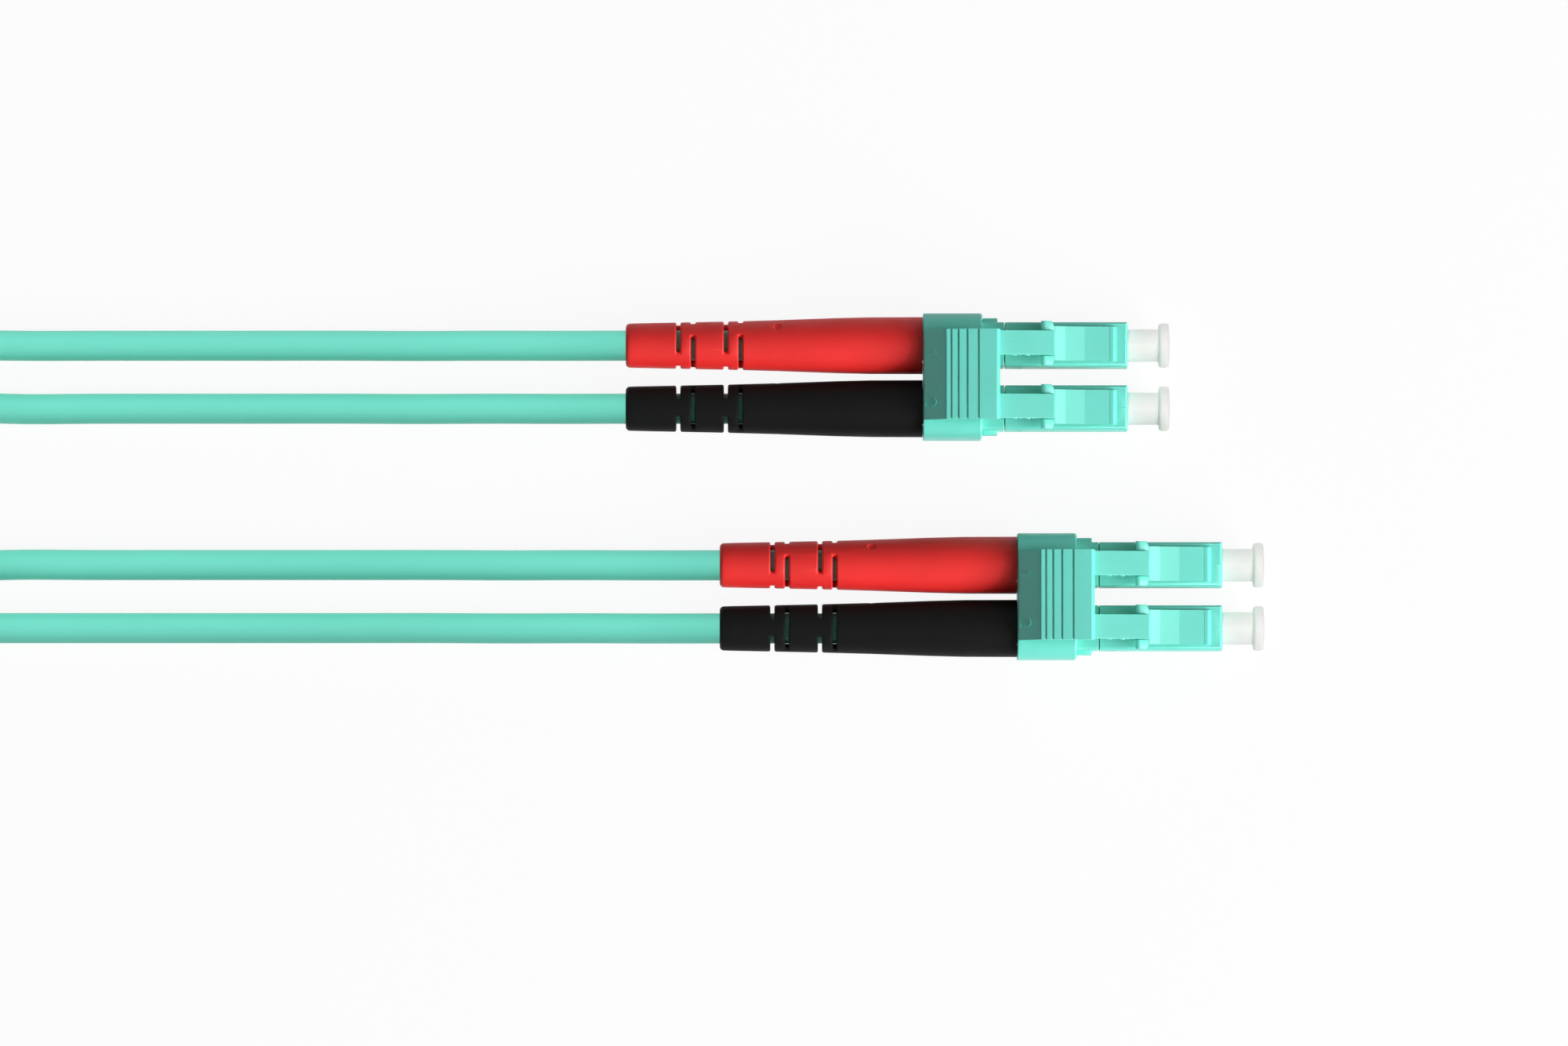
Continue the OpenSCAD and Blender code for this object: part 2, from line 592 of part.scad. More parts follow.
for (e = [0, 1], c = [0, 1]) {
    name = str(ENDS[e], "_", COLOURS[c], "_");
    at_connector(e, c) front_housing();
    at_connector(e, c) latch();
    at_connector(e, c) rear_body();
    at_connector(e, c) ferrule();
    at_connector(e, c) ferrule_flange();
    at_connector(e, c) spring();
    at_connector(e, c) fibre();
    at_connector(e, c) aramid_yarn();
    at_connector(e, c) crimp_sleeve();
    at_connector(e, c) boot(COLOURS[c], boot_turn[c]);
    at_connector(e, c) dust_cap();
}
for (e = [0, 1]) {
    at_plug(e) clip();
    at_plug(e) trigger();
}
leg(leg1_at_end1);
leg(leg1_at_end2);
hank(0);  // leg1_hank
leg(leg2_at_end1);
leg(leg2_at_end2);
hank(1);  // leg2_hank
hank_tie();
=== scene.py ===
# %% [markdown]
# # A duplex fibre patch cord
# Two identical twin plugs, each with a red and a black strain-relief boot, a teal clip with a ribbed
# release trigger, two latching housings and two white dust caps. Two 3 mm legs join the plugs, and the
# length that isn't needed is folded in a hank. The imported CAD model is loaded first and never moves:
# every finished piece is built round it, in the same frame, in metres.

import math

import bmesh
import bpy
from mathutils import Matrix, Vector


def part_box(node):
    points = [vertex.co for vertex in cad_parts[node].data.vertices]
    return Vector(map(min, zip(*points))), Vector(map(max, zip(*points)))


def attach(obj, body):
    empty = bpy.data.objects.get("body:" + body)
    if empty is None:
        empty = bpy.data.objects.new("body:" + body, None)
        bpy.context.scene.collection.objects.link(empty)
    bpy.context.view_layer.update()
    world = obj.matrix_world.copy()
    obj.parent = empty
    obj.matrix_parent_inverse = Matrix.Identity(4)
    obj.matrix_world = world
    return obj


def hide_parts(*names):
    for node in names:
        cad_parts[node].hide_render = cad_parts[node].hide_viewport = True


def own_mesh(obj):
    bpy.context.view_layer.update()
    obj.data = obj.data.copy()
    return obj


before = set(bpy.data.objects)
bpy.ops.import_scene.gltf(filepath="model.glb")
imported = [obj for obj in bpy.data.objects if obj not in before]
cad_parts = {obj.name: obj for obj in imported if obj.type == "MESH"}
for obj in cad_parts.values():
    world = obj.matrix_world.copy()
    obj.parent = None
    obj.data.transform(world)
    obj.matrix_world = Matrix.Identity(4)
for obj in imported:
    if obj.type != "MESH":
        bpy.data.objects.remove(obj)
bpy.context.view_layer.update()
MM = 0.001
ENDS = ("end1", "end2")
COLOURS = ("red", "black")
CONNECTORS = [(end, colour) for end in ENDS for colour in COLOURS]

# %% [markdown]
# ## The camera
# A product camera looks almost straight down from far away through a long lens, so that parallel edges
# stay parallel. It leans a few degrees, which shows a little of each near side face.

# %% Camera
FRAME_WIDTH = 155.04 * MM      # how much the camera sees across, where it looks
LOOK_AT = Vector((-15.9, -3.57, 3.3)) * MM
CAMERA_DISTANCE = 1.2
CAMERA_ELEVATION = math.radians(87.2)

camera = bpy.data.objects.new("camera", bpy.data.cameras.new("camera"))
bpy.context.scene.collection.objects.link(camera)
camera.data.lens = camera.data.sensor_width * CAMERA_DISTANCE / FRAME_WIDTH
away = Vector((0, -math.cos(CAMERA_ELEVATION), math.sin(CAMERA_ELEVATION)))
camera.location = LOOK_AT + away * CAMERA_DISTANCE
camera.rotation_mode = "QUATERNION"
camera.rotation_quaternion = (-away).to_track_quat("-Z", "Y")
bpy.context.scene.camera = camera
print("lens:", round(camera.data.lens), "mm")

# %% [markdown]
# ## Finishes
# Every finish but the cord's is a small node tree on Object coordinates, so its grain has the same scale
# on every piece. A colour is written as it looks on screen and turned into the linear value that a
# shader reads. A moulded surface is never one flat tone: the colour drifts a little, the gloss varies,
# and a fine bump breaks the highlight.

# %% Helpers for materials
def linear(colour):
    """A colour as it looks on screen, as the linear value that a shader reads."""
    return [c / 12.92 if c <= 0.04045 else ((c + 0.055) / 1.055) ** 2.4 for c in colour] + [1.0]


class NodeTree:
    """A node tree of any kind, and the calls that add nodes to it."""

    def __init__(self, tree):
        self.tree = tree

    def feed(self, socket, value):
        """Link an input to another node's output, or set it to a plain value."""
        if isinstance(value, bpy.types.NodeSocket):
            self.tree.links.new(value, socket)
        else:
            socket.default_value = value

    def node(self, kind, values=(), **settings):
        made = self.tree.nodes.new(kind)
        for key, value in settings.items():
            setattr(made, key, value)
        for key, value in dict(values).items():
            self.feed(made.inputs[key], value)
        return made

    def math(self, operation, first, second):
        return self.node("ShaderNodeMath", {0: first, 1: second}, operation=operation).outputs[0]


class Finish(NodeTree):
    """A material and the few calls that its shader needs."""

    def __init__(self, name):
        self.material = bpy.data.materials.new(name)
        self.material.use_nodes = True
        super().__init__(self.material.node_tree)
        self.shader = self.tree.nodes["Principled BSDF"]

    def place(self):
        return self.node("ShaderNodeTexCoord").outputs["Object"]

    def scaled(self, vector, scale):
        return self.node("ShaderNodeMapping", {"Vector": vector, "Scale": scale}).outputs["Vector"]

    def noise(self, vector, scale, detail=3.0):
        """Grey noise about 0.5, with features of roughly 1 / scale metres."""
        values = {"Vector": vector, "Scale": scale, "Detail": detail}
        return self.node("ShaderNodeTexNoise", values).outputs["Fac"]

    def spread(self, value, low, high):
        """The middle of a noise, spread from low to high."""
        values = {"Value": value, "From Min": 0.3, "From Max": 0.7, "To Min": low, "To Max": high}
        return self.node("ShaderNodeMapRange", values).outputs["Result"]

    def mixed(self, factor, first, second):
        """A colour between two linear ones, by a factor from 0 to 1."""
        mix = self.node("ShaderNodeMix", {"Factor": factor}, data_type="RGBA")
        for label, value in (("A", first), ("B", second)):
            self.feed(next(i for i in mix.inputs if i.name == label and i.type == "RGBA"), value)
        return next(o for o in mix.outputs if o.type == "RGBA")

    def bump(self, height, depth):
        made = self.node("ShaderNodeBump", {"Height": height, "Distance": depth, "Strength": 1.0})
        self.connect(made.outputs["Normal"], "Normal")

    def connect(self, value, socket):
        self.feed(self.shader.inputs[socket], value)

    def constants(self, **values):
        for key, value in values.items():
            self.connect(value, key.replace("_", " "))


# %% Moulded plastic and rubber
DRIFT_SCALE = 180           # of the noise behind the colour's drift
GLOSS_SCALE = 700           # of the noise behind the uneven gloss
GLOSS_RANGE = 0.05


def moulded(name, colour, roughness, drift=0.04, grain=2500, grain_depth=0.004, **constants):
    """A moulded surface: slow colour drift, uneven gloss and a fine bump."""
    finish = Finish(name)
    place = finish.place()
    dark = linear([c * (1 - drift) for c in colour])
    light = linear([min(1, c * (1 + drift)) for c in colour])
    drifting = finish.spread(finish.noise(place, DRIFT_SCALE), 0, 1)
    finish.connect(finish.mixed(drifting, dark, light), "Base Color")
    gloss = finish.noise(place, GLOSS_SCALE)
    finish.connect(finish.spread(gloss, roughness - GLOSS_RANGE, roughness + GLOSS_RANGE), "Roughness")
    finish.bump(finish.noise(place, grain), grain_depth * MM)
    finish.constants(**constants)
    return finish


TEAL = (0.43, 0.89, 0.82)
JACKET = (0.48, 0.92, 0.83)
RED = (0.98, 0.17, 0.16)
BLACK = (0.040, 0.045, 0.042)
CAP_WHITE = (0.96, 0.96, 0.94)

teal_plastic = moulded("teal_plastic", TEAL, 0.42, drift=0.015, Specular_IOR_Level=0.8)
red_rubber = moulded("red_rubber", RED, 0.55, drift=0.03, grain=4000, grain_depth=0.007)
black_rubber = moulded("black_rubber", BLACK, 0.6, drift=0.1, grain=4000, grain_depth=0.009,
                       Specular_IOR_Level=0.1)
cap_plastic = moulded("cap_plastic", CAP_WHITE, 0.5, drift=0.01, Subsurface_Weight=0.5,
                      Subsurface_Scale=1.5 * MM, Subsurface_Radius=(1.0, 1.0, 0.8))
ceramic = moulded("ceramic", (0.95, 0.94, 0.91), 0.15, drift=0.01, grain_depth=0.001)
buffer_coat = moulded("buffer_coat", (0.5, 0.86, 0.8), 0.4)

# %% Metal and aramid yarn
WEAR_SCALE = 500            # of the noise behind a metal's duller patches
WEAR_TONE = 0.92            # how bright those patches are, against the rest
SCRATCH_DEPTH = 0.002 * MM
STRAND_DEPTH = 0.03 * MM


def metal(name, colour, roughness, scratches):
    """Plated or drawn metal, with fine marks whose scale is given along X, Y and Z."""
    finish = Finish(name)
    place = finish.place()
    marks = finish.noise(finish.scaled(place, scratches), 1, detail=5)
    finish.connect(finish.spread(marks, roughness - 0.08, roughness + 0.1), "Roughness")
    worn = linear([c * WEAR_TONE for c in colour])
    finish.connect(finish.mixed(finish.noise(place, WEAR_SCALE), worn, linear(colour)), "Base Color")
    finish.bump(marks, SCRATCH_DEPTH)
    finish.constants(Metallic=1.0)
    return finish


nickel = metal("nickel", (0.84, 0.83, 0.80), 0.25, (9000, 900, 900))
drawn_wire = metal("drawn_wire", (0.70, 0.70, 0.72), 0.3, (3000, 3000, 3000))

aramid = Finish("aramid")
strands = aramid.noise(aramid.scaled(aramid.place(), (300, 9000, 9000)), 1, detail=4)
aramid.connect(aramid.mixed(strands, linear((0.66, 0.50, 0.14)), linear((0.95, 0.82, 0.40))), "Base Color")
aramid.bump(strands, STRAND_DEPTH)
aramid.constants(Roughness=0.6, Sheen_Weight=0.3)
print("materials:", len(bpy.data.materials))

# %% [markdown]
# The cord's jacket is extruded, so its faint lines run along the cord and not across it. A pattern on
# Object coordinates would cut across the bends of the hank. The sweep stores how far along and which
# way round each point lies, and the jacket's noise reads those two attributes instead.

# %% The jacket's finish
JACKET_LINES = (6, 6, 60)       # scale of the fine lines: round the cord, and per metre along it
JACKET_PATCHES = (0.6, 0.6, 90)     # the same for the slow drift of the colour
JACKET_TONE = 0.985             # the darker end of that drift
LINE_DEPTH = 0.006 * MM


def jacket_finish():
    finish = Finish("cord_jacket")
    ring = finish.node("ShaderNodeAttribute", attribute_name="ring").outputs["Vector"]
    along = finish.node("ShaderNodeAttribute", attribute_name="along").outputs["Fac"]
    line = finish.node("ShaderNodeCombineXYZ", {"Z": along}).outputs["Vector"]
    flow = finish.node("ShaderNodeVectorMath", {0: ring, 1: line}, operation="ADD").outputs["Vector"]
    lines = finish.noise(finish.scaled(flow, JACKET_LINES), 1, detail=4)
    drift = finish.spread(finish.noise(finish.scaled(flow, JACKET_PATCHES), 1), 0, 1)
    darker = linear([c * JACKET_TONE for c in JACKET])
    finish.connect(finish.mixed(drift, darker, linear(JACKET)), "Base Color")
    finish.connect(finish.spread(lines, 0.38, 0.5), "Roughness")
    finish.bump(lines, LINE_DEPTH)
    finish.constants(Specular_IOR_Level=0.2)
    return finish


cord_jacket = jacket_finish()
print("jacket's nodes:", len(cord_jacket.tree.nodes))

# %% [markdown]
# ## The cord
# Each leg is one unbroken jacket, crimped at both ends. It leaves a boot, comes down to the table, runs
# beside its twin and joins the hank, where it spirals in along two layers and out along two. A cord
# like this can be a bevelled curve, a skinned mesh or a sweep. Geometry Nodes sweep a circle along the
# route here, because the sweep can also store where along the cord each point lies.

# %% The cord's route, in millimetres
CORD_D = 3.0
AXIS_Z = 3.25
LEG1_AT_END1 = [
    (-9.6, 14, 3.25), (-17, 14, 3.25), (-24, 14, 3.25), (-31.5, 14, 3.25), (-38, 14, 3),
    (-45, 14.05, 2.4), (-52, 14.05, 1.9), (-60, 14.1, 1.6), (-68, 14.1, 1.5), (-76, 14.1, 1.5),
    (-84, 14.1, 1.5), (-92, 14.1, 1.5), (-100, 14.3, 1.5), (-108, 15, 1.5), (-116, 16.1, 1.5),
    (-124, 17, 1.5), (-130, 17.3, 1.5), (-134, 17.3, 1.5)]
LEG2_AT_END1 = [
    (-9.6, 7.75, 3.25), (-17, 7.75, 3.25), (-24, 7.75, 3.25), (-31.5, 7.75, 3.25), (-38, 7.75, 3),
    (-45, 7.8, 2.4), (-52, 7.8, 1.9), (-60, 7.85, 1.6), (-68, 7.85, 1.5), (-76, 7.85, 1.5),
    (-84, 7.85, 1.5), (-93, 7.85, 1.5), (-100, 8.5, 1.9), (-108, 10.9, 2.9), (-116, 13.9, 4.4),
    (-124, 16.7, 5.1), (-130, 17.3, 5.1), (-134, 17.3, 5.1)]
LEG1_AT_END2 = [
    (-0.3, -14, 3.25), (-7.5, -14, 3.25), (-15, -14, 3.25), (-22.2, -14, 3.25), (-29, -14, 3),
    (-36, -13.95, 2.4), (-43, -13.95, 1.9), (-51, -13.9, 1.6), (-59, -13.9, 1.5), (-67, -13.9, 1.5),
    (-75, -13.9, 1.5), (-84, -13.9, 1.5), (-93, -13.9, 1.5), (-101, -13.95, 2), (-108, -14.2, 3.2),
    (-115, -14.7, 5.2), (-122, -15.1, 7.4), (-128, -15.4, 8.5), (-131, -15.45, 8.7), (-134, -15.45, 8.7)]
LEG2_AT_END2 = [
    (-0.3, -7.75, 3.25), (-7.5, -7.75, 3.25), (-15, -7.75, 3.25), (-22.2, -7.75, 3.25), (-29, -7.75, 3),
    (-36, -7.7, 2.4), (-43, -7.7, 1.9), (-51, -7.65, 1.6), (-59, -7.65, 1.5), (-67, -7.65, 1.5),
    (-75, -7.65, 1.5), (-84, -7.65, 1.5), (-93, -7.65, 1.6), (-101, -8.2, 2.8), (-108, -9.8, 5.2),
    (-115, -11.9, 8.2), (-122, -14, 10.9), (-128, -15.3, 12.1), (-131, -15.45, 12.3), (-134, -15.45, 12.3)]

HANK_X = -134           # where the stretches meet the hank
HANK_LEAD = 3           # straight start and end of the hank
HANK_RUN = 46           # length of each straight run
HANK_RUNS = 8           # runs along each leg
HANK_TURN_IN = 4        # the run along which the spiral reverses and climbs
HANK_INNER = 9.9        # half width of the innermost run
HANK_STEP = 3.7         # distance between neighbouring loops
LAYER_STEP = 3.6        # height of a layer
HANK_WAIST = 5.5        # how far the waist is drawn in
HANK_LIFT = 1.3         # how far the tie lifts the waist
LOWEST_LINE = 1.5       # height of the lowest centre line
STEPS = 24              # points in a run, and in a half turn


def half_width(run):
    return HANK_INNER + HANK_STEP / 2 * abs(run - HANK_TURN_IN)


def waist(t):
    return (1 - math.cos(2 * math.pi * t)) / 2


def climb(run, t):
    return 0 if run < HANK_TURN_IN else 1 if run > HANK_TURN_IN else (1 - math.cos(math.pi * t)) / 2


def run_point(run, t):
    side = 1 if run % 2 == 0 else -1
    return Vector((HANK_X - HANK_LEAD - HANK_RUN * (t if run % 2 == 0 else 1 - t),
                   side * (half_width(run) - HANK_WAIST * waist(t)),
                   LOWEST_LINE + 2 * LAYER_STEP * climb(run, t) + HANK_LIFT * waist(t)))


def bend_point(run, t):
    start, end = run_point(run, 1), run_point(run + 1, 0)
    radius = abs(start.y - end.y) / 2
    way = -1 if run % 2 == 0 else 1
    angle = math.pi * t
    return Vector((start.x + way * radius * math.sin(angle),
                   (start.y + end.y) / 2 + (start.y - end.y) / 2 * math.cos(angle), start.z))


def hank_route(layer):
    """The centre line through the hank, from its first straight to its last."""
    points = []
    for run in range(HANK_RUNS):
        points += [run_point(run, i / STEPS) for i in range(STEPS)]
        if run < HANK_RUNS - 1:
            points += [bend_point(run, i / STEPS) for i in range(STEPS)]
    points.append(run_point(HANK_RUNS - 1, 1))
    return [p + Vector((0, 0, layer * LAYER_STEP)) for p in points]


def smoothed(points, steps=4):
    """A smooth line through given points: a Catmull-Rom spline."""
    points = [Vector(p) for p in points]
    padded = [2 * points[0] - points[1]] + points + [2 * points[-1] - points[-2]]
    line = []
    for a, b, c, d in zip(padded, padded[1:], padded[2:], padded[3:]):
        for i in range(steps):
            t = i / steps
            line.append(0.5 * (2 * b + (c - a) * t + (2 * a - 5 * b + 4 * c - d) * t ** 2
                               + (3 * b - a - 3 * c + d) * t ** 3))
    return line + [points[-1]]


def leg_route(at_end1, at_end2, layer):
    return smoothed(at_end1)[:-1] + hank_route(layer) + smoothed(at_end2)[::-1][1:]


def route_length(points):
    return sum((b - a).length for a, b in zip(points, points[1:]))


ROUTES = {"leg1": leg_route(LEG1_AT_END1, LEG1_AT_END2, 0),
          "leg2": leg_route(LEG2_AT_END1, LEG2_AT_END2, 1)}
for leg, route in ROUTES.items():
    print(leg, "from crimp to crimp:", round(route_length(route)), "mm,", len(route), "points")

# %% [markdown]
# A Geometry Nodes tree is built like any node tree: sockets for its sizes, nodes, links. The class
# below makes the tree's interface, and a function puts the tree on a mesh, sets its inputs by their
# identifiers and turns the result into a plain mesh, because a live modifier would be lost on export.

# %% Helpers for Geometry Nodes
class Tree(NodeTree):
    """A Geometry Nodes tree with named inputs."""

    def __init__(self, name, inputs):
        super().__init__(bpy.data.node_groups.new(name, "GeometryNodeTree"))
        face = self.tree.interface
        face.new_socket("Geometry", in_out="INPUT", socket_type="NodeSocketGeometry")
        self.keys = {}
        for label, kind in inputs.items():
            socket = face.new_socket(label, in_out="INPUT", socket_type="NodeSocket" + kind)
            self.keys[label] = socket.identifier
        face.new_socket("Geometry", in_out="OUTPUT", socket_type="NodeSocketGeometry")
        self.given = self.node("NodeGroupInput").outputs

    def stored(self, geometry, name, value, kind):
        """The geometry with a named value on each of its points."""
        values = {"Geometry": geometry, "Name": name, "Value": value}
        made = self.node("GeometryNodeStoreNamedAttribute", values, data_type=kind, domain="POINT")
        return made.outputs["Geometry"]

    def end(self, geometry):
        """Realize Instances and Set Material, then the output."""
        real = self.node("GeometryNodeRealizeInstances", {"Geometry": geometry}).outputs["Geometry"]
        values = {"Geometry": real, "Material": self.given["Material"]}
        dressed = self.node("GeometryNodeSetMaterial", values).outputs["Geometry"]
        self.node("NodeGroupOutput", {"Geometry": dressed})


def grown(tree, start_mesh, values):
    """The mesh that a tree makes from a start mesh, with its inputs set by identifier."""
    holder = bpy.data.objects.new("holder", start_mesh)
    bpy.context.scene.collection.objects.link(holder)
    modifier = holder.modifiers.new("nodes", "NODES")
    modifier.node_group = tree.tree
    for label, value in values.items():
        modifier[tree.keys[label]] = value
    result = evaluated_mesh(holder)
    bpy.data.objects.remove(holder)
    return result


def evaluated_mesh(thing):
    graph = bpy.context.evaluated_depsgraph_get()
    graph.update()
    return bpy.data.meshes.new_from_object(thing.evaluated_get(graph), preserve_all_data_layers=True,
                                           depsgraph=graph)


def polyline(points):
    mesh = bpy.data.meshes.new("line")
    mesh.from_pydata([tuple(p) for p in points], [(i, i + 1) for i in range(len(points) - 1)], [])
    return mesh


# %% The sweep that makes a cord
def sweep_tree():
    """A circle swept along a line, with the way along and round it stored on the points."""
    tree = Tree("swept_cord", {"Radius": "Float", "Sides": "Int", "Material": "Material"})
    line = tree.node("GeometryNodeMeshToCurve", {"Mesh": tree.given["Geometry"]}).outputs["Curve"]
    distance = tree.node("GeometryNodeSplineParameter").outputs["Length"]
    measured = tree.stored(line, "along", distance, "FLOAT")
    size = {"Resolution": tree.given["Sides"], "Radius": tree.given["Radius"]}
    circle = tree.node("GeometryNodeCurvePrimitiveCircle", size).outputs["Curve"]
    place = tree.node("GeometryNodeInputPosition").outputs["Position"]
    unit = tree.node("ShaderNodeVectorMath", {0: place}, operation="NORMALIZE").outputs["Vector"]
    ringed = tree.stored(circle, "ring", unit, "FLOAT_VECTOR")
    sweep = {"Curve": measured, "Profile Curve": ringed, "Fill Caps": True}
    swept = tree.node("GeometryNodeCurveToMesh", sweep).outputs["Mesh"]
    tree.end(tree.node("GeometryNodeSetShadeSmooth", {"Geometry": swept}).outputs["Geometry"])
    return tree


CORD_SIDES = 24
cord_sweep = sweep_tree()
legs = {}
for leg, route in ROUTES.items():
    mesh = grown(cord_sweep, polyline([p * MM for p in route]),
                 {"Radius": CORD_D / 2 * MM, "Sides": CORD_SIDES, "Material": cord_jacket.material})
    legs[leg] = bpy.data.objects.new(leg, mesh)
    bpy.context.scene.collection.objects.link(legs[leg])
    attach(legs[leg], "patch_cord")
    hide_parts(f"{leg}_at_end1", f"{leg}_hank", f"{leg}_at_end2")
    print(leg, "swept:", len(mesh.polygons), "faces")

# %% [markdown]
# ## Helpers for moulded pieces
# A moulded piece starts as an outline drawn out along an axis, or turned round the connector's axis.
# Solids are added to it or cut from it, and then its edges are rounded, because a moulded edge is never
# sharp and its thin highlight is what makes the piece read as plastic. All of this happens in
# millimetres round the plug's own origin, where the numbers are easy to read, and the finished mesh is
# scaled and moved into the frame at the end.

# %% Helpers for solids
def from_faces(points, faces):
    mesh = bmesh.new()
    corners = [mesh.verts.new(p) for p in points]
    for face in faces:
        mesh.faces.new([corners[i] for i in face])
    bmesh.ops.recalc_face_normals(mesh, faces=mesh.faces)
    return mesh


def prism(outline, start, end, axis):
    """An outline drawn out along an axis: (Y, Z) along X, (X, Z) along Y or (X, Y) along Z."""
    place = {"X": lambda a, b, d: (d, a, b), "Y": lambda a, b, d: (a, d, b),
             "Z": lambda a, b, d: (a, b, d)}[axis]
    n = len(outline)
    points = [place(a, b, d) for d in (start, end) for a, b in outline]
    sides = [(i, (i + 1) % n, n + (i + 1) % n, n + i) for i in range(n)]
    return from_faces(points, [tuple(range(n))[::-1], tuple(range(n, 2 * n))] + sides)


def turned(outline, segments=64):
    """A closed outline of (x, radius) points turned round the X axis."""
    n = len(outline)
    points = []
    for k in range(segments):
        angle = 2 * math.pi * k / segments
        points += [(x, r * math.sin(angle), r * math.cos(angle)) for x, r in outline]
    faces = []
    for k in range(segments):
        here, there = k * n, (k + 1) % segments * n
        faces += [(here + i, here + (i + 1) % n, there + (i + 1) % n, there + i) for i in range(n)]
    solid = from_faces(points, faces)
    bmesh.ops.remove_doubles(solid, verts=solid.verts, dist=1e-5)
    bmesh.ops.recalc_face_normals(solid, faces=solid.faces)
    return solid


def box_outline(a0, a1, b0, b1):
    return [(a0, b0), (a1, b0), (a1, b1), (a0, b1)]


def arc(centre, radius, start, end, steps=6):
    """Points on an arc, from one angle to another in degrees."""
    angles = [math.radians(start + (end - start) * i / steps) for i in range(steps + 1)]
    return [(centre[0] + radius * math.cos(a), centre[1] + radius * math.sin(a)) for a in angles]


def band(line, width):
    """The outline of a band of even width round a middle line."""
    line = [Vector(p) for p in line]
    left, right = [], []
    for i, point in enumerate(line):
        way_in = (point - line[i - 1]).normalized() if i else (line[1] - point).normalized()
        way_out = (line[i + 1] - point).normalized() if i + 1 < len(line) else way_in
        way = (way_in + way_out).normalized()
        reach = width / 2 / max(0.5, way.dot(way_in))
        left.append((point.x - way.y * reach, point.y + way.x * reach))
        right.append((point.x + way.y * reach, point.y - way.x * reach))
    return left + right[::-1]


WELD, CAD_WELD = 1e-4, 1e-3         # points nearer than this become one
FLAT_ANGLE = math.radians(0.5)      # faces that meet at less than this become one


def as_object(solid):
    mesh = bpy.data.meshes.new("part")
    solid.to_mesh(mesh)
    thing = bpy.data.objects.new("part", mesh)
    bpy.context.scene.collection.objects.link(thing)
    return thing


def welded(solid, distance):
    """The solid with doubled points merged and flat faces joined."""
    bmesh.ops.remove_doubles(solid, verts=solid.verts, dist=distance)
    bmesh.ops.dissolve_limit(solid, angle_limit=FLAT_ANGLE, verts=solid.verts, edges=solid.edges)
    return solid


def combined(base, others, operation):
    """base with others added (UNION), cut away (DIFFERENCE) or kept where both are (INTERSECT)."""
    things = [as_object(solid) for solid in (base, *others)]
    for other in things[1:]:
        modifier = things[0].modifiers.new("boolean", "BOOLEAN")
        modifier.object, modifier.operation, modifier.solver = other, operation, "EXACT"
    result = bmesh.new()
    result.from_mesh(evaluated_mesh(things[0]))
    for thing in things:
        bpy.data.objects.remove(thing)
    return welded(result, WELD)


def rounded(solid, radius, chosen=None, sharper_than=30, segments=3):
    """The solid with its sharp edges rounded: all of them, or those that a test picks."""
    limit = math.radians(sharper_than)
    edges = [e for e in solid.edges if len(e.link_faces) == 2 and e.calc_face_angle(0) > limit
             and (chosen is None or chosen(e))]
    bmesh.ops.bevel(solid, geom=edges, offset=radius, segments=segments, profile=0.5, affect="EDGES",
                    clamp_overlap=True)
    return solid


SMOOTH_ANGLE = math.radians(38)


def dress(mesh, finish):
    mesh.materials.clear()
    mesh.materials.append(finish.material)


def finished(solid, name, origin, finish, body, node):
    """The solid as a finished piece: in place, shaded, dressed, on its body and in its node's stead."""
    solid.transform(Matrix.Translation(origin) @ Matrix.Scale(MM, 4))
    mesh = bpy.data.meshes.new(name)
    solid.to_mesh(mesh)
    solid.free()
    mesh.shade_smooth()
    mesh.set_sharp_from_angle(angle=SMOOTH_ANGLE)
    piece = bpy.data.objects.new(name, mesh)
    bpy.context.scene.collection.objects.link(piece)
    even = piece.modifiers.new("even_normals", "WEIGHTED_NORMAL")
    even.keep_sharp = True
    piece.data = evaluated_mesh(piece)
    piece.modifiers.clear()
    dress(piece.data, finish)
    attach(piece, body)
    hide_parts(node)
    print(name, len(piece.data.polygons), "faces")
    return piece


def cad_solid(node, origin):
    """A CAD node's mesh as a merged solid, in millimetres round an origin."""
    solid = bmesh.new()
    solid.from_mesh(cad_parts[node].data)
    solid.transform(Matrix.Scale(1 / MM, 4) @ Matrix.Translation(-origin))
    return welded(solid, CAD_WELD)


def plug_origin(end):
    """The plug's own origin: the clip's rear face, mid width, at the ferrules' height."""
    low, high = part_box(f"{end}_clip")
    return Vector((low.x, (low.y + high.y) / 2, AXIS_Z * MM))


def connector_origin(end, colour):
    low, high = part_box(f"{end}_{colour}_ferrule")
    return Vector((plug_origin(end).x, (low.y + high.y) / 2, AXIS_Z * MM))


# %% [markdown]
# ## The boots
# A strain-relief boot is a soft tapered sleeve. Pairs of slots cross each other near its tail, so that
# it bends evenly. Cutting slots with booleans leaves ragged rings, so the shell is laid out as a grid
# instead: one ring of points at each station along the boot, outside and inside. The cells that lie in
# a slot are left out and walled, and the rims are rounded.

# %% The boot's grid
BOOT_LEN = 29.35
BOOT_FRONT = -0.05                      # from the clip's rear face
BOOT_TAIL = BOOT_FRONT - BOOT_LEN
BOOT_RADII = [(0, 2.19), (6, 2.31), (12.2, 2.44), (17, 2.59), (21, 2.74), (24.5, 2.82), (29.35, 2.83)]
BOOT_BORE_R = 1.6
BOOT_SOCKET_R = 1.725
BOOT_SOCKET = -7.65                     # where the bore widens for the crimp
BOOT_SEGMENTS = 48
SLOT_START, SLOT_GAP, SLOT_PERIOD, SLOT_PAIRS = 5.2, 1.45, 4.7, 2
SLOT_W = 0.4
SLOT_HALF_ANGLE = 67.5                  # each slot goes this far round to either side
SLOT_ROUND = 0.18                       # of the slots' rims
TAIL_ROUND = 0.4
SEAM_STATION = 15.0                     # a faint moulding ring round the boot
SEAM_DEPTH, SEAM_HALF = 0.015, 0.1
